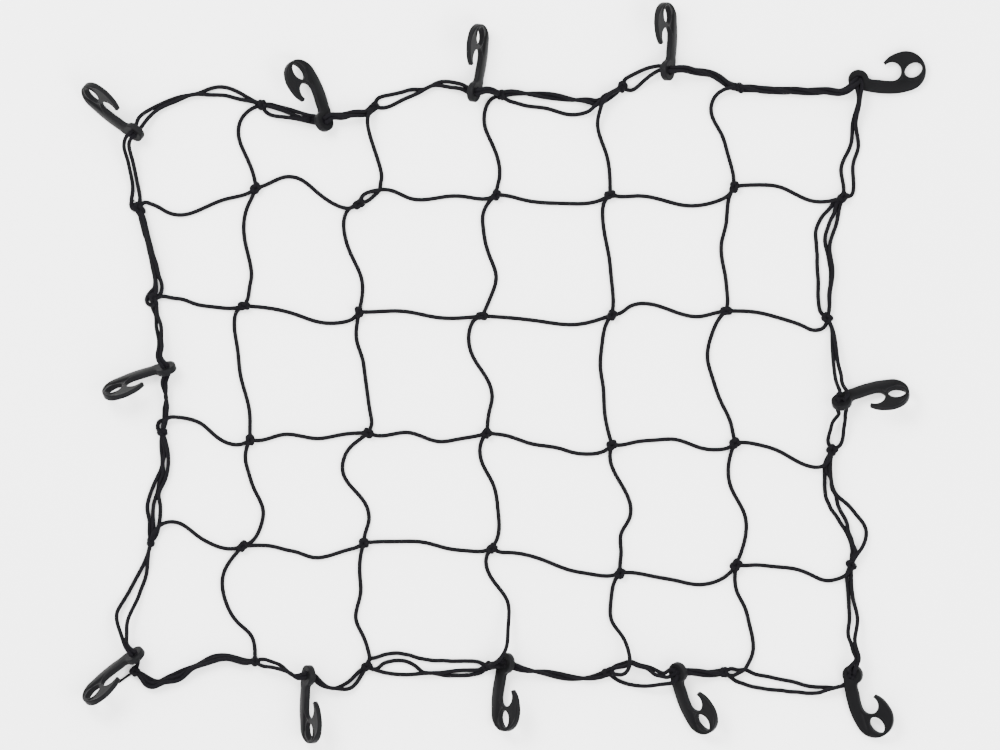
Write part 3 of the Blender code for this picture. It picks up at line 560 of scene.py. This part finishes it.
def plastic_material(settings):
    """Black moulded plastic: satin, finely pitted and duller at the rims, which also carry a painted
    highlight that makes them paler.
    """
    material, make, shader = new_material("moulded_plastic")
    cloud = make.noise(scale=60.0, detail=3.0)
    grain = make.noise(scale=1500.0, detail=2.0)
    rim = make.add("ShaderNodeAttribute", output="Fac", attribute_name="rim")
    rim_highlight, cloud_light = HOOK_HIGHLIGHT_AND_CLOUD
    rim_dulling, cloud_dulling = HOOK_DULLING
    # painted highlight: the rims are made paler; the cloudy patches are random tone
    light = rim * rim_highlight + cloud * cloud_light
    make.give(shader, {
        "Base Color": make.shades(light, settings.colour, HOOK_TONES),
        "Roughness": settings.roughness + (cloud - 0.5) * cloud_dulling + rim * rim_dulling,
        "Specular IOR Level": 0.022,
        "Normal": make.bump(grain, strength=0.25, depth=0.00012),
    })
    return material


def floor_material(settings):
    """A plain, dull floor that is hardly uneven in colour."""
    material, make, shader = new_material("plain_floor")
    cloud = make.noise(scale=3.0, detail=2.0)
    make.give(shader, {
        "Base Color": make.shades(cloud, settings.colour, FLOOR_TONES),
        "Roughness": 0.9,
        "Specular IOR Level": 0.1,
    })
    return material


def new_geometry_tree(name, **extra):
    """A tree that makes tubes, with a geometry input and output and number inputs."""
    tree = bpy.data.node_groups.new(name, "GeometryNodeTree")
    tree.interface.new_socket(name="Geometry", in_out="INPUT", socket_type="NodeSocketGeometry")
    tree.interface.new_socket(name="Geometry", in_out="OUTPUT", socket_type="NodeSocketGeometry")
    for label, kind in {"Radius": "Float", "Sides": "Int", **extra}.items():
        tree.interface.new_socket(name=label, in_out="INPUT", socket_type=f"NodeSocket{kind}")
    make = NodeMaker(tree)
    return tree, make, make.add("NodeGroupInput", output="Geometry")


def tube_nodes(make, curve, given, material):
    """Turns curves into closed tubes that carry their length and their way round."""
    run = make.add("GeometryNodeSplineParameter", output="Length")
    curve = make.store(curve, "cord_along", run, "FLOAT")
    ring = make.add(
        "GeometryNodeCurvePrimitiveCircle",
        {"Resolution": given.other("Sides"), "Radius": given.other("Radius")}, mode="RADIUS")
    place = make.add("GeometryNodeInputPosition")
    ring = make.store(ring, "cord_round", make.vector("NORMALIZE", {0: place}), "FLOAT_VECTOR")
    tube = make.add(
        "GeometryNodeCurveToMesh", {"Curve": curve, "Profile Curve": ring, "Fill Caps": True})
    tube = make.add("GeometryNodeSetShadeSmooth", {"Geometry": tube, "Shade Smooth": True})
    tube = make.add("GeometryNodeRealizeInstances", {"Geometry": tube})
    tube = make.add("GeometryNodeSetMaterial", {"Geometry": tube, "Material": material})
    make.add("NodeGroupOutput", {"Geometry": tube})


def cord_tree(material):
    """Single cords: a tube along each route."""
    tree, make, given = new_geometry_tree("single_cords")
    curve = make.add("GeometryNodeMeshToCurve", {"Mesh": given})
    tube_nodes(make, curve, given, material)
    return tree


def laid_cord_tree(material):
    """Cords laid together: each turns round the route, a part of a turn from the next."""
    tree, make, given = new_geometry_tree("laid_cords", Strands="Int", Lay="Float")
    strands = given.other("Strands")
    curve = make.add("GeometryNodeMeshToCurve", {"Mesh": given})
    copies = make.add(
        "GeometryNodeDuplicateElements", {"Geometry": curve, "Amount": strands},
        output="Geometry", domain="SPLINE")
    run = make.add("GeometryNodeSplineParameter", output="Length")
    turn = run / given.other("Lay") + copies.other("Duplicate Index") / strands
    angle = turn * (2 * math.pi)
    offset = given.other("Radius") / (math.pi / strands).maths("SINE")
    normal = make.add("GeometryNodeInputNormal")
    tangent = make.add("GeometryNodeInputTangent")
    side = make.vector("CROSS_PRODUCT", {0: tangent, 1: normal})
    across = make.vector("SCALE", {0: normal, "Scale": angle.maths("COSINE") * offset})
    upward = make.vector("SCALE", {0: side, "Scale": angle.maths("SINE") * offset})
    move = make.vector("ADD", {0: across, 1: upward})
    moved = make.add("GeometryNodeSetPosition", {"Geometry": copies, "Offset": move})
    tube_nodes(make, moved, given, material)
    return tree


def knot_tree(material, loops):
    """A pair of interlocked loops of cord on each point, sized and turned by its knot."""
    tree, make, given = new_geometry_tree("tied_knots")
    shape = make.add("GeometryNodeObjectInfo", {"Object": loops}, output="Geometry")
    size, turn = [
        make.add("GeometryNodeInputNamedAttribute", {"Name": name}, data_type="FLOAT_VECTOR")
        for name in ("knot_size", "knot_turn")]
    tied = make.add(
        "GeometryNodeInstanceOnPoints",
        {"Points": given, "Instance": shape, "Rotation": turn, "Scale": size})
    real = make.add("GeometryNodeRealizeInstances", {"Geometry": tied})
    curve = make.add("GeometryNodeMeshToCurve", {"Mesh": real})
    tube_nodes(make, curve, given, material)
    return tree


def add_object(name, data):
    item = bpy.data.objects.new(name, data)
    bpy.context.scene.collection.objects.link(item)
    return item


def apply_tree(name, mesh, tree, values):
    """Run a tree on a mesh, and return the plain mesh object that it makes."""
    source = add_object(f"{name}_routes", mesh)
    modifier = source.modifiers.new(name, "NODES")
    modifier.node_group = tree
    for item in tree.interface.items_tree:
        if item.item_type == "SOCKET" and item.in_out == "INPUT" and item.name in values:
            modifier[item.identifier] = values[item.name]
    bpy.context.view_layer.update()
    evaluated = source.evaluated_get(bpy.context.evaluated_depsgraph_get())
    made = bpy.data.meshes.new_from_object(evaluated)
    made.name = name
    bpy.data.objects.remove(source, do_unlink=True)
    if not len(made.polygons):
        raise RuntimeError(f"{name} has no faces")
    return add_object(name, made)


def finish_piece(piece, slot, *nodes):
    """Fix a piece to the part's body, in place of the plain solids."""
    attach(piece, "root")
    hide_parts(*nodes)


# Routes ---------------------------------------------------------------------------------

def lay_out(right, down, up=0.0):
    """A place of the layout, in millimetres from the middle of the part."""
    return Vector((right - LAYOUT_CENTRE[0], LAYOUT_CENTRE[1] - down, up))


def knot_place(name, up=0.0):
    return lay_out(KNOTS[name][0], KNOTS[name][1], up)


def smooth_curve(points, step=ROUTE_STEP):
    """Close points along the natural cubic spline through the given ones."""
    knots = np.array([tuple(point) for point in points])
    spans = np.linalg.norm(np.diff(knots, axis=0), axis=1)
    count = len(knots)
    matrix = np.eye(count)
    rates = np.zeros_like(knots)
    for row in range(1, count - 1):
        before, after = spans[row - 1], spans[row]
        matrix[row, row - 1:row + 2] = before, 2 * (before + after), after
        slopes = (knots[row + 1] - knots[row]) / after - (knots[row] - knots[row - 1]) / before
        rates[row] = 6 * slopes
    bends = np.linalg.solve(matrix, rates)
    fine = []
    for row, span in enumerate(spans):
        for share in np.linspace(0, 1, max(2, round(span / step)), endpoint=False):
            rest = 1 - share
            point = rest * knots[row] + share * knots[row + 1]
            point += span ** 2 / 6 * ((rest ** 3 - rest) * bends[row])
            point += span ** 2 / 6 * ((share ** 3 - share) * bends[row + 1])
            fine.append(point)
    fine.append(knots[-1])
    return np.array(fine)


def smooth_step(value, low, high):
    """0 below the first limit, 1 above the second and a smooth rise between them."""
    share = np.clip((value - low) / (high - low), 0, 1)
    return share ** 2 * (3 - 2 * share)


def hook_turn(heading, pitch, roll):
    return Euler((math.radians(roll), math.radians(pitch), math.radians(heading))).to_matrix()


def half_hook():
    """Half the thickness of a hook at its ridge."""
    return bpy.context.scene.hook_settings.thickness / MM / 2


def hook_eyes():
    """Each eye's middle, and the upward direction of its hole."""
    eyes = {}
    half = half_hook()
    outline = hook_outline()
    for name, (right, down, heading, pitch, roll) in HOOKS.items():
        turn = hook_turn(heading, pitch, roll)
        lowest = min((turn @ Vector((x, y, z))).z for x, y in outline for z in (-half, half))
        axis = turn @ Vector((0, 0, 1))
        if axis.z < 0:
            axis.negate()
        eyes[name] = (lay_out(right, down, -lowest), axis)
    return eyes


def eye_of(name, eyes):
    """The eye that a cord's end names: its middle, and the way in which that side faces."""
    eye, axis = eyes[name[:2]]
    return eye, axis if name[2] == "+" else -axis


def way_points(row, eyes, height):
    """The points that a cord passes, lying on the surface or risen to an eye."""
    start_name, end_name, _, places = row
    points = [knot_place(start_name, height)]
    points += [lay_out(*place, height) for place in places]
    if end_name in KNOTS:
        return [*points, knot_place(end_name, height)]
    eye, facing = eye_of(end_name, eyes)
    lead_height = max((eye + facing * EYE_LEAD).z - height, 0.0)
    for point in points[1:]:
        away = (point.xy - eye.xy).length
        point.z = height + lead_height * smooth_step(-away, -EYE_RISE, -EYE_LEAD)
    return points


def eye_points(row, eyes, radius, across, last):
    """How a cord turns into a hook's eye and runs through its hole."""
    eye, facing = eye_of(row[1], eyes)
    half = half_hook()
    way = Vector((last.x - eye.x, last.y - eye.y, 0)).normalized()
    side = (way - facing * way.dot(facing)).normalized()
    if abs(facing.z) > EYE_FLAT:
        inward, below = EYE_DIP
        points = [
            eye + side * EYE_RIM + facing * (half + radius) + across,
            eye + side * inward + facing * (half - below) + across * EYE_SQUEEZE]
    else:
        points = [eye + facing * EYE_MOUTH + across]
    points.append(eye - facing * EYE_PAST + across * EYE_SQUEEZE)
    for point in points:
        point.z = max(point.z, radius)
    return points


def lane_offset(row, eyes, radius, last):
    """Where a cord lies in the hole: in a row across it, above or below the other side's."""
    eye, axis = eyes[row[1][:2]]
    way = Vector((last.x - eye.x, last.y - eye.y, 0)) if abs(axis.z) > EYE_LEVEL else axis
    level = way.cross(Vector((0, 0, 1))).normalized()
    rise = level.cross(axis)
    if rise.z < 0:
        rise.negate()
    return level * (row[2] * radius) + rise * (EYE_ROW if row[1][2] == "+" else -EYE_ROW)


def eye_fillers(eyes, radius):
    """Short runs of cord side by side in each hole, so that the cords fill it."""
    runs = []
    for eye, axis in eyes.values():
        first = axis.orthogonal().normalized()
        for turn in range(EYE_FILLERS):
            away = first.copy()
            away.rotate(Quaternion(axis, math.radians(360 * turn / EYE_FILLERS)))
            middle = eye + away * (EYE_HOLE_RADIUS - radius + EYE_PRESS)
            runs.append(np.array([middle + axis * along for along in np.linspace(-EYE_FILL, EYE_FILL, 4)]))
    return runs


def into_eye(row, eyes, radius, across, points):
    """The route's points up to the eye, then those that lead through its hole."""
    through = eye_points(row, eyes, radius, across, points[-1])
    while len(points) > 2 and (points[-1].xy - through[0].xy).length < EYE_CLEAR:
        points.pop()
    return [*points, *through]


def single_route(row, eyes, radius):
    """The close points that one cord passes."""
    points = way_points(row, eyes, radius)
    if row[1] not in KNOTS:
        across = lane_offset(row, eyes, radius, points[-1])
        points = into_eye(row, eyes, radius, across, points)
    return smooth_curve(points)


def laid_reach(row, radius):
    """How far cords that are laid together reach from their middle."""
    return radius * (1 + 1 / math.sin(math.pi / row[2]))


def laid_route(row, eyes, radius):
    """The close points that the middle of laid cords passes."""
    reach = laid_reach(row, radius)
    points = way_points(row, eyes, reach)
    if row[1] not in KNOTS:
        points = into_eye(row, eyes, reach, Vector((0, 0, 0)), points)
    return smooth_curve(points)


def zone_of(row, eyes, route):
    """For each point of a route, how near it is to its knots (0 at the middle, 1 outside),
    and whether it is near to its eye."""
    share = np.ones(len(route))
    for name in row[:2]:
        if name in KNOTS:
            away = np.linalg.norm(route[:, :2] - np.array(knot_place(name)[:2]), axis=1)
            share = np.minimum(share, np.clip(away / KNOT_ZONE, 0, 1))
    near_eye = np.zeros(len(route), bool)
    if row[1] not in KNOTS:
        eye = eyes[row[1][:2]][0]
        near_eye = np.linalg.norm(route[:, :2] - np.array(eye[:2]), axis=1) < EYE_ZONE
    return share, near_eye


def stack_route(row, eyes, route, reach, laid):
    """Lift a route over the cords that already lie there, and into its knots."""
    share, near_eye = zone_of(row, eyes, route)
    height = route[:, 2].copy()
    if laid:
        places = np.concatenate([item[0] for item in laid])
        reaches = np.concatenate([np.full(len(item[0]), item[1]) for item in laid])
        gaps = np.linalg.norm(route[:, None, :2] - places[None, :, :2], axis=2)
        sums = reach + reaches[None, :]
        need = np.where(gaps < sums, places[None, :, 2] + np.sqrt(np.maximum(sums ** 2 - gaps ** 2, 0)), 0)
        free = (share > 0.99) & ~near_eye
        height = np.where(free, np.maximum(height, need.max(axis=1)), height)
    steps = np.linalg.norm(np.diff(route[:, :2], axis=0), axis=1) * STACK_SLOPE
    for index in range(1, len(height)):
        height[index] = max(height[index], height[index - 1] - steps[index - 1])
    for index in range(len(height) - 2, -1, -1):
        height[index] = max(height[index], height[index + 1] - steps[index])
    height = np.where(near_eye, route[:, 2], height)
    padded = np.pad(height, STACK_ROUNDING, mode="edge")
    shifts = range(2 * STACK_ROUNDING + 1)
    rounded = np.mean([padded[shift:shift + len(height)] for shift in shifts], axis=0)
    height = np.where(near_eye, height, rounded)
    height = np.maximum(height, reach)
    height = KNOT_MIDDLE + (height - KNOT_MIDDLE) * smooth_step(share, 0, 1)
    return np.column_stack((route[:, :2], height))


def route_mesh(name, routes, closed=False):
    """One mesh of joined edges with a chain for each route."""
    points, edges = [], []
    for route in routes:
        first = len(points)
        points.extend(tuple(point * MM) for point in route)
        edges.extend((index, index + 1) for index in range(first, len(points) - 1))
        if closed:
            edges.append((len(points) - 1, first))
    mesh = bpy.data.meshes.new(f"{name}_routes")
    mesh.from_pydata(points, edges, [])
    return mesh


# Hook mesh ------------------------------------------------------------------------------

def arc(centre, radius, start, end, steps):
    """Points of a circle's arc. A second radius makes it an ellipse."""
    wide, high = radius if isinstance(radius, tuple) else (radius, radius)
    angles = np.radians(np.linspace(start, end, steps + 1))
    return [(centre[0] + wide * math.cos(a), centre[1] + high * math.sin(a)) for a in angles]


def hook_outline():
    """The hook's closed outline, from the mouth's side of the eye round its back."""
    eye = arc((0, 0), EYE_RADIUS, *EYE_ARC)
    head = arc(HEAD_CENTRE, HEAD_RADIUS, *HEAD_ARC)
    mouth = arc(MOUTH_CENTRE, MOUTH_RADIUS, *MOUTH_ARC)
    back = soft_run(eye[-1], SHANK_BACK, head[0])
    arm = soft_run(head[-1], ARM_BACK, TIP[0])
    front = soft_run(mouth[-1], SHANK_FRONT, eye[0])
    tip = soft_run(TIP[0], (), TIP[1])
    gap = soft_run(TIP[1], (), mouth[0])
    return [*eye, *back, *head, *arm, TIP[0], *tip, TIP[1], *gap, *mouth, *front]


def soft_run(start, between, end):
    """Points between two places, along the smooth curve through the given ones."""
    curve = smooth_curve([(*place, 0.0) for place in (start, *between, end)], OUTLINE_STEP)
    return [tuple(place[:2]) for place in curve[1:-1]]


def hole_outlines():
    """The eye's round hole and the head's oval window, which is turned."""
    hole = arc((0, 0), EYE_HOLE_RADIUS, *HOLE_ARC)
    along, across = math.cos(WINDOW_TURN), math.sin(WINDOW_TURN)
    window = [
        (WINDOW_CENTRE[0] + x * along - y * across, WINDOW_CENTRE[1] + x * across + y * along)
        for x, y in arc((0, 0), WINDOW_HALF, *WINDOW_ARC)]
    return [hole, window]


def inside_loops(points, loops):
    """Whether each point lies inside an odd number of the loops."""
    inside = np.zeros(len(points), bool)
    for loop in loops:
        xs, ys = np.array(loop).T
        for x0, y0, x1, y1 in zip(xs, ys, np.roll(xs, -1), np.roll(ys, -1)):
            crosses = (y0 > points[:, 1]) != (y1 > points[:, 1])
            with np.errstate(divide="ignore", invalid="ignore"):
                at = x0 + (points[:, 1] - y0) * (x1 - x0) / (y1 - y0)
            inside ^= crosses & (points[:, 0] < at)
    return inside


def rim_distance(points, loops):
    """How far each point lies from the nearest outline."""
    nearest = np.full(len(points), np.inf)
    for loop in loops:
        starts = np.array(loop)
        ways = np.roll(starts, -1, axis=0) - starts
        lengths = np.maximum((ways ** 2).sum(axis=1), 1e-9)
        offsets = points[:, None, :] - starts[None, :, :]
        along = np.clip((offsets * ways).sum(axis=2) / lengths, 0, 1)
        gaps = np.linalg.norm(offsets - along[:, :, None] * ways, axis=2)
        nearest = np.minimum(nearest, gaps.min(axis=1))
    return nearest


def inside_depth(points, corners):
    """How far each point lies inside the nearest side of a convex shape."""
    centre = corners.mean(axis=0)
    depth = np.full(len(points), np.inf)
    for corner, following in zip(corners, np.roll(corners, -1, axis=0)):
        way = (following - corner) / np.linalg.norm(following - corner)
        normal = np.array((-way[1], way[0]))
        if (centre - corner) @ normal < 0:
            normal = -normal
        depth = np.minimum(depth, (points - corner) @ normal)
    return depth


def half_thickness(points, rim, half):
    """Half the hook's thickness: a crowned shank, a thinner web and head, a small pocket."""
    x, y = points[:, 0], points[:, 1]
    crown = SHANK_CROWN * np.clip((y - SHANK_MIDDLE) / SHANK_HALF, -1, 1) ** 2
    on_shank = smooth_step(x, *SHANK_START) * (1 - smooth_step(x, *SHANK_END))
    deepen, fall = WEB_LENGTHS
    edge = WEB_EDGE + WEB_RISE * (1 - smooth_step(x, WEB_START, WEB_START + fall))
    web = smooth_step(y, edge, edge + EASE) * smooth_step(x, WEB_START, WEB_START + deepen)
    mouth = np.hypot(x - MOUTH_CENTRE[0], y - MOUTH_CENTRE[1]) - MOUTH_RADIUS
    turned = ((x - WINDOW_CENTRE[0]) + 1j * (y - WINDOW_CENTRE[1])) * np.exp(-1j * WINDOW_TURN)
    spread = np.hypot(turned.real / WINDOW_HALF[0], turned.imag / WINDOW_HALF[1])
    window = (spread - 1) * WINDOW_HALF[1]
    back = HEAD_RADIUS - np.hypot(x - HEAD_CENTRE[0], y - HEAD_CENTRE[1])
    back = np.where(x > HEAD_CENTRE[0], back, HEAD_RADIUS)
    bead = 1 - smooth_step(np.minimum(np.minimum(mouth, window), back), *BEAD)
    arm = smooth_step(y, *ARM_LEVEL) * (1 - smooth_step(x, *ARM_END))
    web = web * (1 - np.maximum(bead, arm))
    thick = half - crown * on_shank * (1 - web) - WEB_DROP * web
    depth = inside_depth(points, np.array(POCKET))
    thick -= POCKET_DEPTH * smooth_step(depth, 0.0, EASE) * (1 - bead)
    eased = np.clip(1 - rim / EDGE_RADIUS, 0, 1)
    return thick - EDGE_RADIUS * (1 - np.sqrt(np.maximum(1 - eased ** 2, 0)))


def inner_points(loops):
    """Points of the hook's face: rows that follow the outlines, then a staggered grid."""
    rows, steps = [], []
    for loop in loops:
        places = np.array(loop)
        ways = np.roll(places, -1, axis=0) - np.roll(places, 1, axis=0)
        normals = np.column_stack((-ways[:, 1], ways[:, 0])) / np.linalg.norm(ways, axis=1)[:, None]
        for step in RIM_STEPS:
            rows += [places + normals * step, places - normals * step]
            steps.append(np.full(2 * len(loop), step))
    rows, steps = np.concatenate(rows), np.concatenate(steps)
    outline = np.array(loops[0])
    spans = zip(outline.min(axis=0), outline.max(axis=0))
    grid_x, grid_y = np.meshgrid(*[np.arange(low, high, GRID_STEP) for low, high in spans])
    grid_x = grid_x + (np.arange(len(grid_x)) % 2)[:, None] * GRID_STEP / 2
    grid = np.column_stack((grid_x.ravel(), grid_y.ravel()))
    rows = rows[np.abs(rim_distance(rows, loops) - steps) < RIM_SLIP]
    grid = grid[rim_distance(grid, loops) > RIM_STEPS[-1] + GRID_STEP * GRID_GAP]
    points = np.concatenate((rows, grid))
    return points[inside_loops(points, loops)]


def flat_hook(loops):
    """Places and triangles of the hook's flat face."""
    outline, edges = [], []
    for loop in loops:
        first, count = len(outline), len(loop)
        outline.extend(loop)
        edges.extend((first + index, first + (index + 1) % count) for index in range(count))
    flat = [Vector(place) for place in [*outline, *inner_points(loops)]]
    places, _, faces, *_ = delaunay_2d_cdt(flat, edges, [], 0, 1e-5)
    places = np.array([tuple(place) for place in places])
    middles = np.array([places[list(face)].mean(axis=0) for face in faces])
    return places, [face for face, keep in zip(faces, inside_loops(middles, loops)) if keep]


def hook_mesh(half):
    """The moulded hook: both faces follow the thickness, and a wall joins their outlines."""
    loops = [hook_outline(), *hole_outlines()]
    places, faces = flat_hook(loops)
    rims = rim_distance(places, loops)
    tops = half_thickness(places, rims, half)
    body = bmesh.new()
    rim_layer = body.verts.layers.float.new("rim")
    sides = []
    for way in (1, -1):
        verts = []
        for (x, y), top, rim in zip(places, tops, rims):
            vertex = body.verts.new((x * MM, y * MM, way * top * MM))
            vertex[rim_layer] = max(0.0, 1 - rim / EDGE_RADIUS)
            verts.append(vertex)
        sides.append(verts)
    for face in faces:
        body.faces.new([sides[0][index] for index in face])
        body.faces.new([sides[1][index] for index in reversed(face)])
    borders = [edge for edge in body.edges if len(edge.link_faces) == 1 and edge.verts[0].co.z > 0]
    twins = dict(zip(*sides))
    for edge in borders:
        first, second = edge.verts
        body.faces.new((first, second, twins[second], twins[first]))
    bmesh.ops.delete(body, geom=[v for v in body.verts if not v.link_faces], context="VERTS")
    bmesh.ops.recalc_face_normals(body, faces=body.faces)
    mesh = bpy.data.meshes.new("hook")
    body.to_mesh(mesh)
    body.free()
    mesh.shade_smooth()
    return mesh


# Operators ------------------------------------------------------------------------------

def tube_values(settings, **extra):
    """The inputs of a tree that makes tubes."""
    return {"Radius": settings.width / 2, "Sides": settings.sides, **extra}


def all_routes(eyes, radius):
    """The routes of all cords, stacked in the order in which they're laid down."""
    laid, groups = [], {"laid": [], "border": [], "inner": []}
    for row in LAID_CORDS:
        reach = laid_reach(row, radius) * LAID_REACH
        route = stack_route(row, eyes, laid_route(row, eyes, radius), reach, laid)
        laid.append((route, reach))
        groups["laid"].append((row[2], route))
    for name, rows in (("border", BORDER_CORDS), ("inner", INNER_CORDS)):
        for row in rows:
            route = stack_route(row, eyes, single_route(row, eyes, radius), radius, laid)
            laid.append((route, radius))
            groups[name].append(route)
    return groups


class CARGONET_OT_cords(bpy.types.Operator):
    """Lay out the single cords of the net and its border"""

    bl_idname = "cargonet.cords"
    bl_label = "Lay Cords"

    def execute(self, context):
        settings = context.scene.cord_settings
        radius = settings.width / 2 / MM
        eyes = hook_eyes()
        groups = all_routes(eyes, radius)
        material = cord_material(settings)
        tree = cord_tree(material)
        loops = [smooth_curve([lay_out(*place, radius) for place in loop]) for loop in SLACK_LOOPS]
        named = {
            "inner_cords": groups["inner"],
            "border_cords": groups["border"] + loops + eye_fillers(eyes, radius),
        }
        for name, routes in named.items():
            piece = apply_tree(name, route_mesh(name, routes), tree, tube_values(settings))
            finish_piece(piece, "elastic_cord", "net")
        knot, places = CUT_END
        thin = radius * CUT_END_SHARE
        route = smooth_curve([knot_place(knot, KNOT_MIDDLE), *[lay_out(*place, thin) for place in places]])
        values = tube_values(settings, Radius=thin * MM)
        piece = apply_tree("cut_end", route_mesh("cut_end", [route]), tree, values)
        finish_piece(piece, "elastic_cord", "net")
        laid_tree = laid_cord_tree(material)
        for count in (2, 3):
            name = f"laid_cords_{count}"
            routes = [route for strands, route in groups["laid"] if strands == count]
            values = tube_values(settings, Strands=count, Lay=settings.lay)
            piece = apply_tree(name, route_mesh(name, routes), laid_tree, values)
            finish_piece(piece, "elastic_cord", "net")
        return {"FINISHED"}


def knot_loops():
    """Two interlocked oval loops of unit size, one across the other."""
    long_half, short_half, rise = KNOT_LOOP
    loops = []
    for quarter in (0, 1):
        turn = math.pi / 4 + quarter * math.pi / 2
        loop = []
        for index in range(KNOT_LOOP_STEPS):
            angle = 2 * math.pi * index / KNOT_LOOP_STEPS
            x, y = long_half * math.cos(angle), short_half * math.sin(angle)
            loop.append((
                x * math.cos(turn) - y * math.sin(turn),
                x * math.sin(turn) + y * math.cos(turn),
                rise * math.sin(2 * angle)))
        loops.append(np.array(loop))
    return loops


class CARGONET_OT_knots(bpy.types.Operator):
    """Tie a knot at each crossing of the net"""

    bl_idname = "cargonet.knots"
    bl_label = "Tie Knots"

    def execute(self, context):
        settings = context.scene.cord_settings
        material = bpy.data.materials["braided_cover"]
        loops = add_object("knot_loops", route_mesh("knot_loops", knot_loops(), closed=True))
        points = bpy.data.meshes.new("knot_points")
        places = [knot_place(name, KNOT_MIDDLE) * MM for name in KNOTS]
        points.from_pydata([tuple(place) for place in places], [], [])
        sizes = points.attributes.new("knot_size", "FLOAT_VECTOR", "POINT")
        turns = points.attributes.new("knot_turn", "FLOAT_VECTOR", "POINT")
        width = settings.width / MM
        rng = np.random.default_rng(KNOT_SEED)
        shape = np.concatenate(knot_loops())
        for index, (_, _, length, breadth, turn) in enumerate(KNOTS.values()):
            rise = KNOT_RISE * rng.uniform(*KNOT_RISE_SPREAD)
            size = np.array((length - width, breadth - width, 2 * rise)) / 2 * KNOT_SIZE
            sizes.data[index].vector = size
            lean = (*rng.uniform(-KNOT_TILT, KNOT_TILT, 2), math.radians(turn))
            turns.data[index].vector = lean
            turned = shape * size @ np.array(Euler(lean).to_matrix()).T
            lowest = turned[:, 2].min() - width / 2
            points.vertices[index].co.z = max(KNOT_MIDDLE, -lowest) * MM
        piece = apply_tree("knots", points, knot_tree(material, loops), tube_values(settings))
        bpy.data.objects.remove(loops, do_unlink=True)
        finish_piece(piece, "elastic_cord", "net")
        return {"FINISHED"}


class CARGONET_OT_hooks(bpy.types.Operator):
    """Mould the hooks and set each one on the border"""

    bl_idname = "cargonet.hooks"
    bl_label = "Mould Hooks"

    def execute(self, context):
        material = plastic_material(context.scene.hook_settings)
        shape = hook_mesh(half_hook())
        for name, (right, down, heading, pitch, roll) in HOOKS.items():
            mesh = shape.copy()
            mesh.name = f"moulded_hook_{name}"
            mesh.transform(hook_turn(heading, pitch, roll).to_4x4())
            lowest = min(vertex.co.z for vertex in mesh.vertices)
            place = lay_out(right, down) * MM
            for vertex in mesh.vertices:
                vertex.co += Vector((place.x, place.y, -lowest))
            mesh.materials.append(material)
            finish_piece(add_object(mesh.name, mesh), "hook_plastic", f"hook_{name}")
        return {"FINISHED"}


def soft_world():
    """A pale surround, brighter towards the horizon than overhead."""
    world = bpy.data.worlds.new("soft_world")
    world.use_nodes = True
    make = NodeMaker(world.node_tree)
    way = make.add("ShaderNodeTexCoord", output="Generated")
    up = make.add("ShaderNodeSeparateXYZ", {0: way}, output="Z").maths("MAXIMUM", 0.0)
    low = 1 - up
    strength = low * low * WORLD_HORIZON + WORLD_ZENITH
    background = world.node_tree.nodes["Background"]
    make.give(background, {"Color": (1, 1, 1, 1), "Strength": strength})
    return world


def add_area_light(name, place, size, power):
    """A square light that points at the middle of the floor."""
    light = bpy.data.lights.new(name, "AREA")
    light.shape = "SQUARE"
    light.size = size
    light.energy = power
    item = add_object(name, light)
    item.location = place
    item.rotation_euler = (-Vector(place)).to_track_quat("-Z", "Y").to_euler()
    item.visible_camera = False


class CARGONET_OT_stage(bpy.types.Operator):
    """Set up the floor, the soft light and the camera over the net"""

    bl_idname = "cargonet.stage"
    bl_label = "Set Stage"

    def execute(self, context):
        settings = context.scene.stage_settings
        body = bmesh.new()
        bmesh.ops.create_grid(body, x_segments=8, y_segments=8, size=FLOOR_HALF)
        mesh = bpy.data.meshes.new("floor")
        body.to_mesh(mesh)
        body.free()
        for vertex in mesh.vertices:
            vertex.co.z = -FLOOR_DROP
        mesh.materials.append(floor_material(settings))
        floor = add_object("floor", mesh)
        context.scene.world = soft_world()
        for light in LIGHTS:
            add_area_light(*light)
        camera = bpy.data.cameras.new("camera")
        camera.sensor_width = SENSOR_WIDTH
        camera.lens = SENSOR_WIDTH * settings.height / settings.field
        camera.clip_end = settings.height * 4
        item = add_object("camera", camera)
        centre = lay_out(*VIEW_CENTRE) * MM
        item.location = (centre.x, centre.y, settings.height)
        context.scene.camera = item
        return {"FINISHED"}


class CARGONET_PT_panel(bpy.types.Panel):
    """The net's settings and the steps that make it"""

    bl_idname = "CARGONET_PT_panel"
    bl_label = "Cargo Net"
    bl_space_type = "VIEW_3D"
    bl_region_type = "UI"
    bl_category = "Cargo Net"

    def draw(self, context):
        scene = context.scene
        steps = (
            (scene.cord_settings, ("cargonet.cords", "cargonet.knots")),
            (scene.hook_settings, ("cargonet.hooks",)),
            (scene.stage_settings, ("cargonet.stage",)),
        )
        for settings, operators in steps:
            box = self.layout.box()
            for name in settings.__annotations__:
                box.prop(settings, name)
            for operator in operators:
                box.operator(operator)


CLASSES = (
    CordSettings, HookSettings, StageSettings, CARGONET_OT_cords, CARGONET_OT_knots,
    CARGONET_OT_hooks, CARGONET_OT_stage, CARGONET_PT_panel,
)


def register():
    for item in CLASSES:
        bpy.utils.register_class(item)
    bpy.types.Scene.cord_settings = PointerProperty(type=CordSettings)
    bpy.types.Scene.hook_settings = PointerProperty(type=HookSettings)
    bpy.types.Scene.stage_settings = PointerProperty(type=StageSettings)


def unregister():
    del bpy.types.Scene.stage_settings
    del bpy.types.Scene.hook_settings
    del bpy.types.Scene.cord_settings
    for item in reversed(CLASSES):
        bpy.utils.unregister_class(item)


def main():
    register()
    bpy.ops.cargonet.cords()
    bpy.ops.cargonet.knots()
    bpy.ops.cargonet.hooks()
    bpy.ops.cargonet.stage()


if __name__ == "__main__":
    main()
